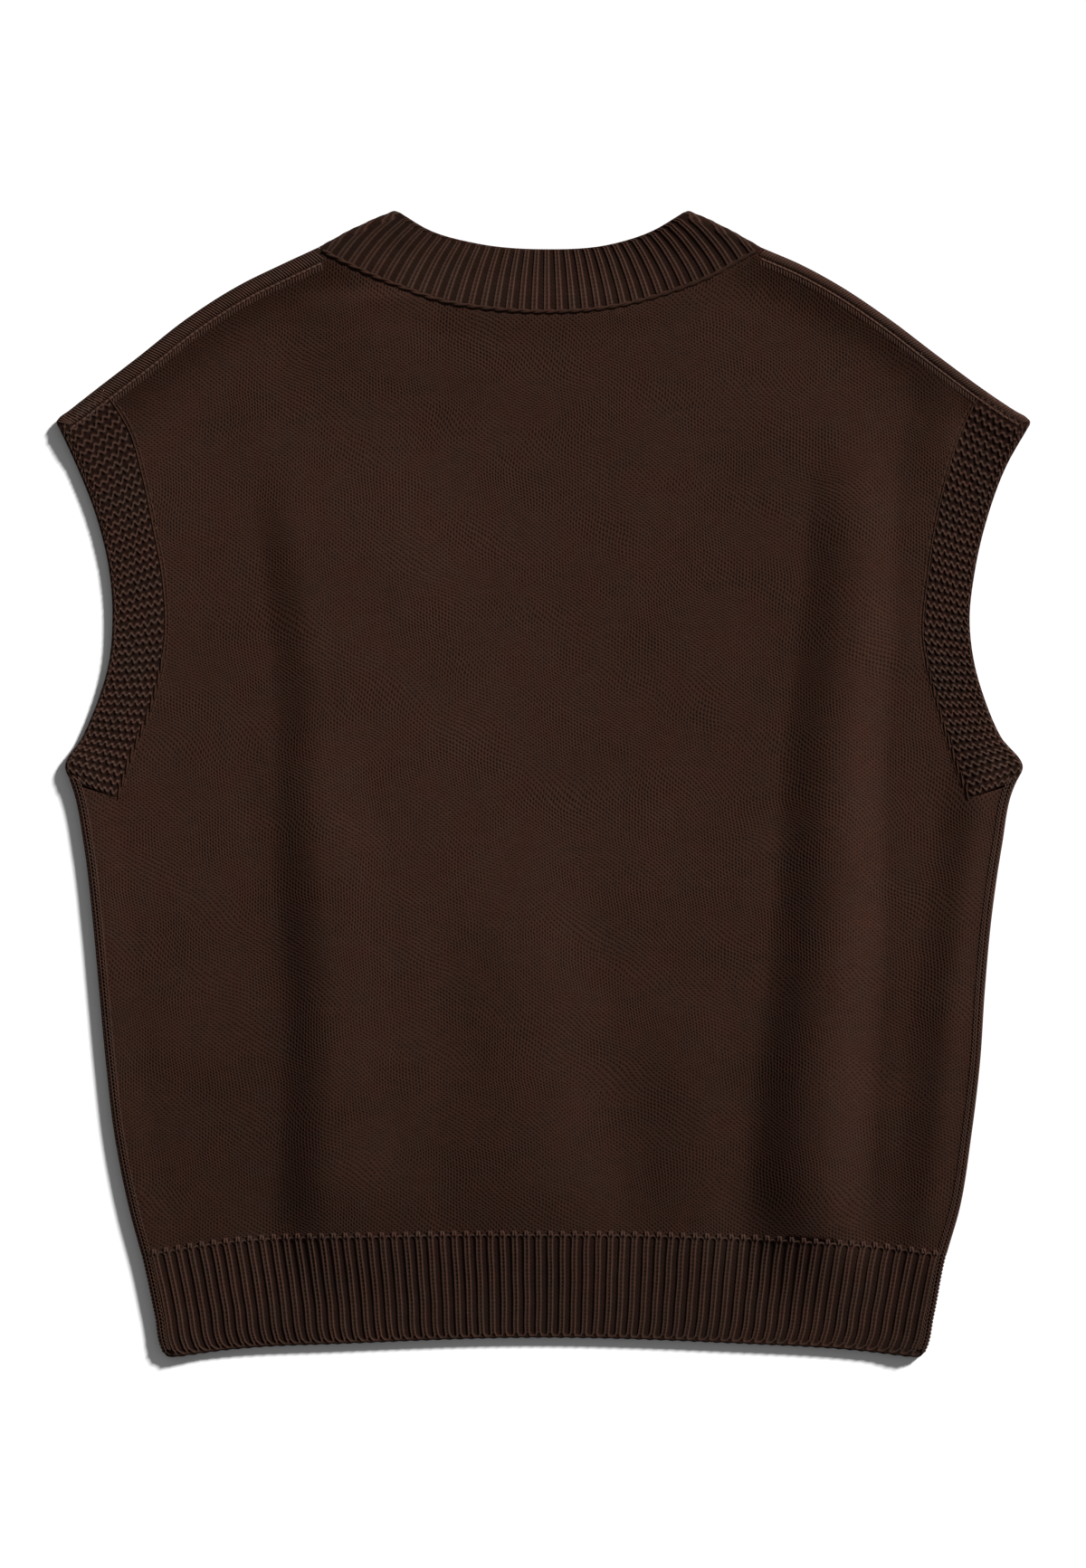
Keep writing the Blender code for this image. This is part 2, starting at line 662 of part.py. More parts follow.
def build_neckband():
    """Ribbed loop at the neck, folded at both neck points, its open edge towards +Y."""
    gap = SEAM_HALF_GAP
    shares = (0.0, 0.93, 1.0)
    upper_columns = 3 * NECK_RIBS
    lower_columns = 2 * NECK_COLUMNS["front"]

    def fold_point(which, share):
        side, place = SIDES[which]
        spot = 0.01 + 0.99 * share
        return along(side["neck_fold"], spot), inward(side["neck_fold"], spot, place["hand"])

    def half(layer, columns, insets):
        ends = [[fold_point(w, s)[0] + fold_point(w, s)[1] * FOLD_RADIUS for s in shares] for w in (0, 1)]
        seam = [ends[0][0]] + neck_border(layer, insets, -gap) + [ends[1][0]]
        low = spaced(resampled(seam), columns)
        edge = NECK_EDGE[layer]
        start, end = nearest_share(edge, ends[0][-1]), nearest_share(edge, ends[1][-1])
        high = spaced(edge, columns, start + PEAK_ROUNDING, end - PEAK_ROUNDING)
        high[0], high[-1] = ends[0][-1], ends[1][-1]
        return patch(low, high, *ends)

    upper = half("back", upper_columns, at_shoulders(gap))
    lower = half("front", lower_columns, FOLDED_INSETS)

    def pair(i, j):
        if i <= upper_columns:
            crest = RIB_RAISE if i % 3 else 0.0
            return upper_pair(upper[j][i], WALL + crest if j < 2 else WALL * EDGE_THINNING + crest * 0.5)
        i -= upper_columns
        if i <= TURN_STEPS:
            return turn(*fold_point(1, shares[j]), TURN_STEPS - i)
        i -= TURN_STEPS
        if i <= lower_columns:
            return lower_pair(lower[j][lower_columns - i])
        return turn(*fold_point(0, shares[j]), i - lower_columns)

    columns = upper_columns + lower_columns + 2 * TURN_STEPS
    return knit_wall("neckband", columns, len(shares) - 1, pair, RIB_COLOUR, loop=True)


def centre_on_origin(pieces):
    """Move all meshes so that the origin is the middle of the vest's box, on the ground."""
    corners = [vert.co for piece in pieces for vert in piece.data.vertices]
    low = Vector([min(c[k] for c in corners) for k in range(3)])
    high = Vector([max(c[k] for c in corners) for k in range(3)])
    shift = Vector([-(low.x + high.x) / 2, -(low.y + high.y) / 2, -low.z])
    for piece in pieces:
        for vert in piece.data.vertices:
            vert.co += shift


def build_vest():
    """All pieces of the vest in one collection."""
    for obj in list(bpy.data.objects):
        bpy.data.objects.remove(obj, do_unlink=True)
    garment = bpy.data.collections.new(GARMENT)
    bpy.context.scene.collection.children.link(garment)
    pieces = [
        build_back_panel(),
        build_front_panel(),
        build_hem_rib_back(),
        build_hem_rib_front(),
        build_neckband(),
    ]
    for name, (side, place) in zip(("armhole_band_left", "armhole_band_right"), SIDES):
        pieces.append(build_armhole_band(name, side, place))
    centre_on_origin(pieces)


build_vest()
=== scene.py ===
import math

import bmesh
import bpy
import numpy as np
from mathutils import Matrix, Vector


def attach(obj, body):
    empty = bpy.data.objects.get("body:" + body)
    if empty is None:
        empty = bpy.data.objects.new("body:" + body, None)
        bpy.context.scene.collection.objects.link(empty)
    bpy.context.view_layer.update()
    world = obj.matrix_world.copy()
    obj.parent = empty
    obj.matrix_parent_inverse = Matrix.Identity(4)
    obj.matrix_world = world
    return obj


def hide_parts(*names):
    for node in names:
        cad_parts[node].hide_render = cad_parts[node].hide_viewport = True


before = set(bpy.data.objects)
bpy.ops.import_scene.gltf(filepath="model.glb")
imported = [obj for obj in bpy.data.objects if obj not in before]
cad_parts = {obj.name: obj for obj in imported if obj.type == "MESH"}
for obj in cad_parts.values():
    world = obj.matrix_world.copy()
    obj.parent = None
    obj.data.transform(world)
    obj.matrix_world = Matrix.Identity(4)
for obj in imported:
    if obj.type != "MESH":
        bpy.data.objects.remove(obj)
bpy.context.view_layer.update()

# Back hem rib. The piece that is knitted first: sixty-six ribs of one knit and one purl column in heavy
# garment-dyed cotton. Its lower edge is a cast-on chain, and the body is knitted on from its upper edge.
# Plan sizes in this file are millimetres from the vest's middle, +Y to the neck; heights are from the ground.
MM = 0.001
PLAN_SHIFT = 0.25
WALL = 1.8
BACK_INSIDE = 2.4
FOLD_RADIUS = 2.75
EDGE_ROLL = 20.0
SEAM_HALF_GAP = 0.03
SIDE_SEAM_INSET = 3.6
HEM_RIBS = 66
RIB_RAISE = 0.9
COURSE = 2.0
RIB_LEG = 0.33
# Places of the grid's lines across one rib, close together where its legs of yarn are
RIB_STEPS = (0, 0.16, 0.22, 0.27, 0.33, 0.39, 0.5, 0.61, 0.67, 0.73, 0.78, 0.84, 1)
OPEN_EDGE_ROUND = 1.3

# Folded side edge from hem to underarm: height, left reach, right reach
SIDE_EDGE = (
    (-300.0, 195.5, 196.0),
    (-299.0, 198.2, 198.7),
    (-296.0, 199.9, 200.4),
    (-278.5, 203.5, 204.5),
    (-250.0, 209.5, 210.0),
    (-221.5, 217.0, 218.0),
    (-183.5, 224.5, 224.0),
    (-145.5, 229.0, 228.5),
    (-108.0, 232.5, 231.0),
    (-70.0, 236.0, 234.5),
    (-32.0, 240.5, 240.0),
    (-3.5, 246.0, 245.5),
    (7.5, 250.0, 250.5),
)

# Lower and upper line of the ribbing: across, height
HEM_EDGE = (
    (-195.5, -300), (-161, -295.5), (-100, -292.5), (0, -289.5), (100, -292.5), (161, -296), (196, -300),
)
HEM_RIB_TOP = ((-211, -246), (-170, -239.5), (-70, -235.5), (0, -235), (70, -236), (180, -242), (212, -246))

# Long soft folds pressed into the back: upper and lower end of the crest, bend of the crest between them,
# then at both ends the rise, the widths of the left and right face, and how far the fold fades
BACK_FOLDS = (
    ((167.5, 212), (138, -278), 0, (4.0, 12.8), (25, 40), (22, 34), (100, 75)),
    ((-129, 190), (-109, -278), 7, (3.8, 6.7), (25, 33), (140, 130), (85, 75)),
    ((-129, 60), (-109, -278), 6, (2.0, 2.1), (34, 38), (38, 38), (80, 75)),
    ((-14, -20), (4, -278), 2, (2.3, 5.4), (50, 60), (40, 48), (80, 70)),
    ((74, -90), (80, -272), 0, (0.8, 2.2), (28, 30), (26, 26), (60, 50)),
    ((244, 42), (206, -272), 0, (5.0, 5.0), (34, 32), (14, 14), (45, 50)),
    ((216, 226), (205, 140), 0, (2.6, 1.4), (24, 20), (12, 10), (22, 45)),
    ((-98, 262), (-90, 185), 0, (3.0, 1.2), (44, 40), (46, 46), (12, 50)),
)
# Sideways waver of the crests and its length, and how round a crest is
FOLD_WAVER = 1.3
FOLD_WAVE = 29.0
FOLD_ROUNDING = 1.15

# Rise of the cloth towards the seam that links neckband and body, and how far it reaches
SEAM_RISE = 1.4
SEAM_REACH = 20.0

# Sag of the back neck into the front's lower neckline
NECK_SAG = {"depth": 1.7, "across": 45.0, "along": 28.0, "height": 288.0}


def smooth_line(points, samples=600):
    """A smooth line through plan points, as evenly spaced samples."""
    pts = np.array(points, dtype=float)
    chord = np.hypot(*np.diff(pts, axis=0).T)
    run = np.concatenate(([0.0], np.cumsum(chord)))
    slope = np.gradient(pts, run, axis=0)
    spots = np.linspace(0.0, run[-1], samples)
    span = np.clip(np.searchsorted(run, spots, side="right") - 1, 0, len(pts) - 2)
    step = (run[span + 1] - run[span])[:, None]
    t = (spots[:, None] - run[span][:, None]) / step
    line = (
        pts[span] * (2 * t**3 - 3 * t**2 + 1)
        + slope[span] * step * (t**3 - 2 * t**2 + t)
        + pts[span + 1] * (3 * t**2 - 2 * t**3)
        + slope[span + 1] * step * (t**3 - t**2)
    )
    return evened(line, samples)


def evened(points, samples=600):
    """A line of straight runs through the points, as evenly spaced samples."""
    points = np.array(points, dtype=float)
    run = np.concatenate(([0.0], np.cumsum(np.hypot(*np.diff(points, axis=0).T))))
    even = np.linspace(0.0, run[-1], samples)
    return np.column_stack([np.interp(even, run, points[:, k]) for k in (0, 1)])


def length(line):
    """Length of a line."""
    return float(np.sum(np.hypot(*np.diff(line, axis=0).T)))


def at(line, share):
    """Points at shares of a line."""
    spots = np.atleast_1d(share) * (len(line) - 1)
    return np.column_stack([np.interp(spots, np.arange(len(line)), line[:, k]) for k in (0, 1)])


def across(line, share, hand):
    """Unit directions across a line, to its left for hand 1 and to its right for hand -1."""
    share = np.atleast_1d(share)
    ahead = at(line, np.minimum(share + 0.01, 1)) - at(line, np.maximum(share - 0.01, 0))
    ahead /= np.hypot(*ahead.T)[:, None]
    return np.column_stack([-ahead[:, 1], ahead[:, 0]]) * hand


def nearest_share(line, point):
    """Share of a line's length at its sample nearest to a point."""
    return int(np.argmin(np.hypot(*(line - point).T))) / (len(line) - 1)


def stretch(line, start, end, hand=1, clear=0.0, samples=300):
    """Part of a line between two shares, moved a distance to one side."""
    share = np.linspace(start, end, samples)
    return at(line, share) + across(line, share, hand) * clear


def between(low, high, left, right, u, v):
    """Plan points of the cloth inside four borders that meet at their ends, at shares across and up it."""
    ruled = at(low, u) * (1 - v)[:, None] + at(high, u) * v[:, None]
    ruled += at(left, v) * (1 - u)[:, None] + at(right, v) * u[:, None]
    bottom = low[0] * (1 - u)[:, None] + low[-1] * u[:, None]
    top = high[0] * (1 - u)[:, None] + high[-1] * u[:, None]
    return ruled - bottom * (1 - v)[:, None] - top * v[:, None]


def ease(t):
    """A soft step from 0 to 1."""
    t = np.clip(t, 0.0, 1.0)
    return t * t * (3 - 2 * t)


def bell(distance, width):
    """A soft bump that is 1 where the distance is 0."""
    return np.exp(-((distance / width) ** 2))


def wander(x, y):
    """A slow uneven wave between about -1 and 1."""
    return (np.sin(1.7 * x + 2.3 * np.sin(0.61 * y)) + np.sin(2.9 * y + 1.9 * np.sin(0.83 * x) + 1.1)) / 2


def fold_rise(fold, x, y):
    """Height of one soft fold over places in plan, from the upper end of its crest to the lower one."""
    (top_x, top_y), (low_x, low_y), bend, *sizes, fade = fold
    reach = math.hypot(low_x - top_x, low_y - top_y)
    ahead_x, ahead_y = (low_x - top_x) / reach, (low_y - top_y) / reach
    down = (x - top_x) * ahead_x + (y - top_y) * ahead_y
    share = np.clip(down / reach, 0.0, 1.0)
    crest = bend * np.sin(math.pi * share) + FOLD_WAVER * np.sin(down / FOLD_WAVE + top_x)
    aside = (y - top_y) * ahead_x - (x - top_x) * ahead_y - crest
    rise, left, right = (size[0] + (size[1] - size[0]) * share for size in sizes)
    rise = rise * ease(down / fade[0]) * ease((reach - down) / fade[1])
    return rise * ease(1 - (np.abs(aside) / np.where(aside < 0, left, right)) ** FOLD_ROUNDING)


def edge_distance(plan, edge):
    """Distance of places in plan from a folded edge."""
    samples = at(edge, np.linspace(0.0, 1.0, 50))
    ahead = np.gradient(samples, axis=0)
    ahead /= np.hypot(*ahead.T)[:, None]
    away = plan[:, None, :] - samples[None, :, :]
    spread = np.hypot(away[:, :, 0], away[:, :, 1])
    nearest = spread.argmin(axis=1)
    step, run = away[np.arange(len(plan)), nearest], ahead[nearest]
    past = (step * run).sum(axis=1) * np.select([nearest == 0, nearest == len(samples) - 1], [-1, 1]) > 0
    return np.where(past, spread.min(axis=1), np.abs(step[:, 0] * run[:, 1] - step[:, 1] * run[:, 0]))


def back_inside(plan):
    """Height of the back layer's inside face over places in plan."""
    near = np.minimum.reduce([edge_distance(plan, edge) for edge in folded_edges])
    roll = 1 - ease((near - FOLD_RADIUS) / EDGE_ROLL)
    x, y = plan.T
    rise = sum(fold_rise(fold, x, y) for fold in BACK_FOLDS)
    rise += sum(SEAM_RISE * ease(1 - edge_distance(plan, seam) / SEAM_REACH) for seam in linked_seams)
    sag = NECK_SAG["depth"] * bell(x, NECK_SAG["across"]) * bell(y - NECK_SAG["height"], NECK_SAG["along"])
    return BACK_INSIDE + (2 * FOLD_RADIUS - WALL - BACK_INSIDE) * roll + (rise - sag) * (1 - roll)


def raised(plan, height):
    """Points at heights over places in plan."""
    return np.column_stack([plan, height])


def rib_columns(column):
    """Columns of a ribbed grid, moved closer together where the legs of the knit columns are."""
    whole = np.floor(column + 1e-6)
    return whole + np.interp(column - whole, np.arange(len(RIB_STEPS)) / (len(RIB_STEPS) - 1), RIB_STEPS)


def rib_relief(rib, pitch, up, low_end, high_end):
    """Height and tone of one by one ribbing, 0 on the valleys' floor and 1 on the legs.

    Valleys are at whole ribs. A leg of yarn runs up each side of a valley and round its ends, and the knit
    column between two valleys is a chain of stitches with a dark dot at each course.
    """
    beside = (rib - np.round(rib)) * pitch
    past_end = np.maximum(np.maximum(low_end - up, up - high_end), 0.0)
    away = np.hypot(beside, past_end)
    leg = bell(away - RIB_LEG * pitch, 0.07 * pitch)
    bank = ease((away - 0.22 * pitch) / (0.09 * pitch))
    middle = ease((away - 0.38 * pitch) / (0.08 * pitch))
    dot = middle * (0.5 + 0.5 * np.cos(2 * math.pi * up / COURSE))
    bar = (1 - bank) * (0.5 + 0.5 * np.cos(2 * math.pi * (up + 0.7 * beside) / COURSE))
    height = 0.14 * bar + 0.55 * bank + 0.45 * leg - 0.35 * dot
    tone = 0.05 + 0.18 * bar + leg + 0.34 * middle * (1 - leg) - 0.55 * dot
    return np.clip(height, 0.0, 1.0), np.clip(tone, 0.0, 1.0)


def open_edge(distance):
    """Share of the cloth's thickness that is left near an open edge, which is round."""
    return 1 - 0.5 * np.clip(1 - distance / OPEN_EDGE_ROUND, 0.0, 1.0) ** 2


def knit_shell(name, cells, stitches, place, material, wanted=None, loop=False):
    """One closed wall of knit. A grid of cells is extruded, and its outer face is subdivided to the stitches.

    place(column, row, outer) gives each point, its wale and course and its tone, 0 to 1.
    """
    bm = bmesh.new()
    spot = bm.verts.layers.float_vector.new("spot")
    bmesh.ops.create_grid(bm, x_segments=cells[0], y_segments=cells[1], size=0.5)
    for vert in bm.verts:
        vert[spot] = ((vert.co.x + 0.5) * cells[0], (vert.co.y + 0.5) * cells[1], 0.0)
    if wanted:
        middles = {f: sum((v[spot] for v in f.verts), Vector()) / 4 for f in bm.faces}
        unwanted = [f for f, middle in middles.items() if not wanted(middle.x, middle.y)]
        bmesh.ops.delete(bm, geom=unwanted, context="FACES")
    grown = bmesh.ops.extrude_face_region(bm, geom=bm.faces[:])["geom"]
    for vert in (g for g in grown if isinstance(g, bmesh.types.BMVert)):
        vert[spot] = (vert[spot].x, vert[spot].y, 1.0)
    for axis, count in ((1, stitches[0]), (0, stitches[1])):
        chosen = [
            e for e in bm.edges
            if e.verts[0][spot].z + e.verts[1][spot].z > 1.5
            and abs(e.verts[0][spot][axis] - e.verts[1][spot][axis]) < 1e-4
        ]
        bmesh.ops.subdivide_edges(bm, edges=chosen, cuts=count - 1)
    if loop:
        last = float(cells[0])
        ends = [f for f in bm.faces if len({round(v[spot].x, 3) for v in f.verts} | {0.0, last}) == 2]
        bmesh.ops.delete(bm, geom=ends, context="FACES_ONLY")
    spots = np.array([vert[spot][:] for vert in bm.verts])
    points, stitch, tone = place(spots[:, 0], spots[:, 1], spots[:, 2] > 0.5)
    points = (points + (PLAN_SHIFT, 0.0, 0.0)) * MM
    tone_of = bm.verts.layers.float.new("tone")
    pattern = bm.loops.layers.uv.new("stitch")
    bm.verts.index_update()
    for vert, point, yarn_tone in zip(bm.verts, points, tone):
        vert.co = point
        vert[tone_of] = yarn_tone
    for face in bm.faces:
        face.smooth = True
        for corner in face.loops:
            corner[pattern].uv = stitch[corner.vert.index]
    if loop:
        bmesh.ops.remove_doubles(bm, verts=bm.verts, dist=1e-6)
    bmesh.ops.recalc_face_normals(bm, faces=bm.faces)
    return finished(name, bm, material)


def finished(name, bm, material):
    """The piece as an object of its own, riding on the garment."""
    mesh = bpy.data.meshes.new(name)
    bm.to_mesh(mesh)
    bm.free()
    mesh.set_sharp_from_angle(angle=math.radians(80))
    mesh.materials.append(material)
    piece = bpy.data.objects.new(name, mesh)
    bpy.context.scene.collection.objects.link(piece)
    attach(piece, "root")
    return piece


def group_of(name, inputs, outputs):
    """An empty shader node group with its sockets, its input node and its output node."""
    group = bpy.data.node_groups.new(name, "ShaderNodeTree")
    for socket, kind in inputs:
        group.interface.new_socket(socket, in_out="INPUT", socket_type=kind)
    for socket, kind in outputs:
        group.interface.new_socket(socket, in_out="OUTPUT", socket_type=kind)
    return group, group.nodes.new("NodeGroupInput"), group.nodes.new("NodeGroupOutput")


def sum_of(tree, operation, *values, clamp=False):
    """A math node; each value is a number or another node's output."""
    node = tree.nodes.new("ShaderNodeMath")
    node.operation = operation
    node.use_clamp = clamp
    for socket, value in zip(node.inputs, values):
        if isinstance(value, (int, float)):
            socket.default_value = value
        else:
            tree.links.new(value, socket)
    return node.outputs[0]


def noise(tree, place, scale, detail=3.0):
    """A noise value over a place."""
    node = tree.nodes.new("ShaderNodeTexNoise")
    node.inputs["Scale"].default_value = scale
    node.inputs["Detail"].default_value = detail
    tree.links.new(place, node.inputs["Vector"])
    return node.outputs["Fac"]


def mixed(tree, share, one, other, blend="MIX"):
    """A colour between two colours; each value is a number, a colour or another node's output."""
    node = tree.nodes.new("ShaderNodeMix")
    node.data_type = "RGBA"
    node.blend_type = blend
    sockets = {socket.identifier: socket for socket in node.inputs}
    for name, value in (("Factor_Float", share), ("A_Color", one), ("B_Color", other)):
        if isinstance(value, (int, float, tuple)):
            sockets[name].default_value = value
        else:
            tree.links.new(value, sockets[name])
    return next(socket for socket in node.outputs if socket.identifier == "Result_Color")


def wave_of(tree, value, turns):
    """A cosine wave over a value, with a number of turns for each unit."""
    return sum_of(tree, "COSINE", sum_of(tree, "MULTIPLY", value, 2 * math.pi * turns))


def knitted_loops():
    """Shader group: plain knit seen from its face, from a wale and course count.

    Hole is high in the small gaps between the loops, which lie half a course higher in every other half
    wale. Loop is high on the yarn between them. The rows are not quite even. In patches the loops' legs show
    more than the gaps, or the gaps run together into slanted lines.
    """
    group, given, result = group_of(
        "knitted_loops",
        (("Stitch", "NodeSocketVector"),),
        (("Loop", "NodeSocketFloat"), ("Hole", "NodeSocketFloat")),
    )
    split = group.nodes.new("ShaderNodeSeparateXYZ")
    group.links.new(given.outputs["Stitch"], split.inputs[0])
    drift = noise(group, given.outputs["Stitch"], 0.045, 1.0)
    sway = noise(group, given.outputs["Stitch"], 0.37, 2.0)
    slip = noise(group, given.outputs["Stitch"], 0.83, 1.0)
    wale = sum_of(group, "MULTIPLY_ADD", sway, 0.5, split.outputs["X"])
    wale = sum_of(group, "MULTIPLY_ADD", drift, 4.0, wale)
    course = sum_of(group, "MULTIPLY_ADD", slip, 0.6, split.outputs["Y"])
    course = sum_of(group, "MULTIPLY_ADD", drift, 9.0, course)
    patch = noise(group, given.outputs["Stitch"], 0.085, 2.0)
    patch = sum_of(group, "MULTIPLY_ADD", patch, 4.0, -1.5, clamp=True)
    tilt = noise(group, given.outputs["Stitch"], 0.06, 1.0)
    tilt = sum_of(group, "MULTIPLY_ADD", tilt, 2.4, -0.7, clamp=True)
    rising = wave_of(group, sum_of(group, "ADD", wale, course), 1)
    falling = wave_of(group, sum_of(group, "SUBTRACT", wale, course), 1)
    legs = wave_of(group, wale, 2)
    rows = wave_of(group, course, 2)
    net = sum_of(group, "MULTIPLY", rising, sum_of(group, "MULTIPLY_ADD", tilt, 0.22, 0.3))
    net = sum_of(group, "MULTIPLY_ADD", falling, sum_of(group, "MULTIPLY_ADD", tilt, -0.22, 0.36), net)
    net = sum_of(group, "MULTIPLY_ADD", legs, sum_of(group, "MULTIPLY_ADD", patch, 0.5, 0.12), net)
    net = sum_of(group, "MULTIPLY_ADD", rows, sum_of(group, "MULTIPLY_ADD", patch, -0.28, 0.28), net)
    group.links.new(sum_of(group, "MULTIPLY_ADD", net, -0.45, 0.5, clamp=True), result.inputs["Loop"])
    group.links.new(sum_of(group, "MULTIPLY_ADD", net, 1.6, -0.95, clamp=True), result.inputs["Hole"])
    return group


def garment_dye_and_shade():
    """Shader group: cotton yarn dyed brown as a finished garment.

    Tone runs from the dark ground between loops to the crest of the yarn. The crests are worn lighter, and
    the dark ground is also painted shade in the recesses and gaps of the knit. The colour gets darker towards
    the hem, is uneven in broad clouds and from one yarn to the next, and loose fibres stand out of it.
    """
    group, given, result = group_of(
        "garment_dye_and_shade",
        (
            ("Tone", "NodeSocketFloat"),
            ("Ground", "NodeSocketColor"),
            ("Crest", "NodeSocketColor"),
            ("Stitch", "NodeSocketVector"),
        ),
        (("Color", "NodeSocketColor"), ("Fibre", "NodeSocketFloat")),
    )
    place = group.nodes.new("ShaderNodeTexCoord").outputs["Object"]
    height = group.nodes.new("ShaderNodeSeparateXYZ")
    group.links.new(place, height.inputs[0])
    # The colour gets darker towards the hem, lower down the vest.
    darker_to_hem = sum_of(group, "MULTIPLY_ADD", height.outputs["Y"], 1.1, 1.03, clamp=True)
    clouds = noise(group, place, 22.0, 5.0)
    hue = noise(group, place, 75.0, 3.0)
    streaks = noise(group, given.outputs["Stitch"], 0.45, 2.0)
    specks = noise(group, given.outputs["Stitch"], 2.3, 1.0)
    fibre = noise(group, place, 5200.0, 2.0)
    colour = mixed(group, given.outputs["Tone"], given.outputs["Ground"], given.outputs["Crest"])
    hue = sum_of(group, "MULTIPLY_ADD", hue, 3.0, -1.0, clamp=True)
    tint = mixed(group, hue, (1.06, 0.96, 0.92, 1.0), (0.96, 1.02, 1.0, 1.0))
    colour = mixed(group, 1.0, colour, tint, "MULTIPLY")
    shade = sum_of(group, "MULTIPLY", darker_to_hem, sum_of(group, "MULTIPLY_ADD", clouds, 0.34, 0.83))
    shade = sum_of(group, "MULTIPLY", shade, sum_of(group, "MULTIPLY_ADD", streaks, 0.36, 0.82))
    shade = sum_of(group, "MULTIPLY", shade, sum_of(group, "MULTIPLY_ADD", specks, 0.7, 0.65))
    shade = sum_of(group, "MULTIPLY", shade, sum_of(group, "MULTIPLY_ADD", fibre, 0.5, 0.75))
    scaled = group.nodes.new("ShaderNodeVectorMath")
    scaled.operation = "SCALE"
    group.links.new(colour, scaled.inputs[0])
    group.links.new(shade, scaled.inputs["Scale"])
    group.links.new(scaled.outputs[0], result.inputs["Color"])
    group.links.new(fibre, result.inputs["Fibre"])
    return group


loops_group = knitted_loops()
dye_and_shade_group = garment_dye_and_shade()


def cotton(name, ground, crest, relief, loop, hole, bump_mm):
    """Matt dyed cotton knit. Its tone follows the modelled yarn and the drawn loops by the given shares."""
    material = bpy.data.materials.new(name)
    material.use_nodes = True
    tree = material.node_tree
    shader = tree.nodes["Principled BSDF"]
    stitch = tree.nodes.new("ShaderNodeUVMap")
    stitch.uv_map = "stitch"
    loops = tree.nodes.new("ShaderNodeGroup")
    loops.node_tree = loops_group
    tree.links.new(stitch.outputs["UV"], loops.inputs["Stitch"])
    modelled = tree.nodes.new("ShaderNodeAttribute")
    modelled.attribute_name = "tone"
    tone = sum_of(tree, "MULTIPLY", modelled.outputs["Fac"], relief)
    tone = sum_of(tree, "MULTIPLY_ADD", loops.outputs["Loop"], loop, tone)
    tone = sum_of(tree, "MULTIPLY_ADD", loops.outputs["Hole"], -hole, tone, clamp=True)
    dye_and_shade = tree.nodes.new("ShaderNodeGroup")
    dye_and_shade.node_tree = dye_and_shade_group
    # The ground is the colour between the loops: partly the yarn's own dark colour, partly painted shade in
    # the knit's recesses and gaps.
    dye_and_shade.inputs["Ground"].default_value = (*ground, 1.0)
    dye_and_shade.inputs["Crest"].default_value = (*crest, 1.0)
    tree.links.new(tone, dye_and_shade.inputs["Tone"])
    tree.links.new(stitch.outputs["UV"], dye_and_shade.inputs["Stitch"])
    tree.links.new(dye_and_shade.outputs["Color"], shader.inputs["Base Color"])
    bump = tree.nodes.new("ShaderNodeBump")
    bump.inputs["Distance"].default_value = bump_mm * MM
    raised_yarn = sum_of(tree, "MULTIPLY", loops.outputs["Loop"], float(loop > 0))
    raised_yarn = sum_of(tree, "MULTIPLY_ADD", dye_and_shade.outputs["Fibre"], 0.25, raised_yarn)
    tree.links.new(raised_yarn, bump.inputs["Height"])
    tree.links.new(bump.outputs["Normal"], shader.inputs["Normal"])
    matt(shader)
    return material


def matt(shader):
    """The finish of worn cotton: no gloss and a trace of fuzz."""
    shader.inputs["Roughness"].default_value = 0.95
    shader.inputs["Specular IOR Level"].default_value = 0.03
    shader.inputs["Sheen Weight"].default_value = 0.02
    shader.inputs["Sheen Roughness"].default_value = 0.6
    shader.inputs["Sheen Tint"].default_value = (0.62, 0.46, 0.4, 1.0)


def side_line(side, table):
    """A smooth line through a table's heights and its reaches on one side."""
    return smooth_line([(side["hand"] * row[side["column"]], row[0]) for row in table])


sides = [{"column": 1, "hand": -1}, {"column": 2, "hand": 1}]
for side in sides:
    side["side"] = side_line(side, SIDE_EDGE)
folded_edges = [side["side"] for side in sides]
linked_seams = []
hem_line = smooth_line(HEM_EDGE)
rib_top = smooth_line(HEM_RIB_TOP)
for side, corner in zip(sides, (rib_top[0], rib_top[-1])):
    side["rib_share"] = nearest_share(side["side"], corner)
    side["rib_slant"] = (hem_line[20] - hem_line[0]) if side["hand"] < 0 else (hem_line[-21] - hem_line[-1])


def side_border(side, part, inset):
    """Up the folded side edge along the rib or the body; the cloth's own ends slant with its neighbours."""
    gap = SEAM_HALF_GAP / length(side["side"])
    if part == "rib":
        share = np.linspace(0.0, side["rib_share"] - gap, 300)
        slant, nearness = side["rib_slant"], 1 - share / share[-1] * 12
    else:
        share = np.linspace(side["rib_share"] + gap, side["step_share"] - gap, 300)
        slant, nearness = side["step_slant"], 1 - (share[-1] - share) / (share[-1] - share[0]) * 40
    weight = ease(nearness)[:, None]
    inwards = across(side["side"], share, side["hand"]) * (1 - weight) + slant / np.hypot(*slant) * weight
    inwards /= np.hypot(*inwards.T)[:, None]
    return at(side["side"], share), inwards, at(side["side"], share) + inwards * inset


def between_points(line, first, last, hand=1, clear=0.0):
    """Part of a line moved to one side, from its place nearest to one point to that nearest to another."""
    part = stretch(line, nearest_share(line, first), nearest_share(line, last), hand, clear)
    part[0], part[-1] = first, last
    return part


def hem_borders(inset):
    """Lower, upper, left and right border of a layer's ribbing."""
    left, right = (side_border(side, "rib", inset)[2] for side in sides)
    low = between_points(hem_line, left[0], right[0])
    high = between_points(rib_top, left[-1], right[-1], -1, SEAM_HALF_GAP)
    return low, high, left, right


HEM_HEIGHT = 54.5
HEM_COURSES = 27
HEM_LOW_END = 3.0
HEM_HIGH_END = HEM_HEIGHT - 2.6
back_hem = hem_borders(SIDE_SEAM_INSET + SEAM_HALF_GAP)


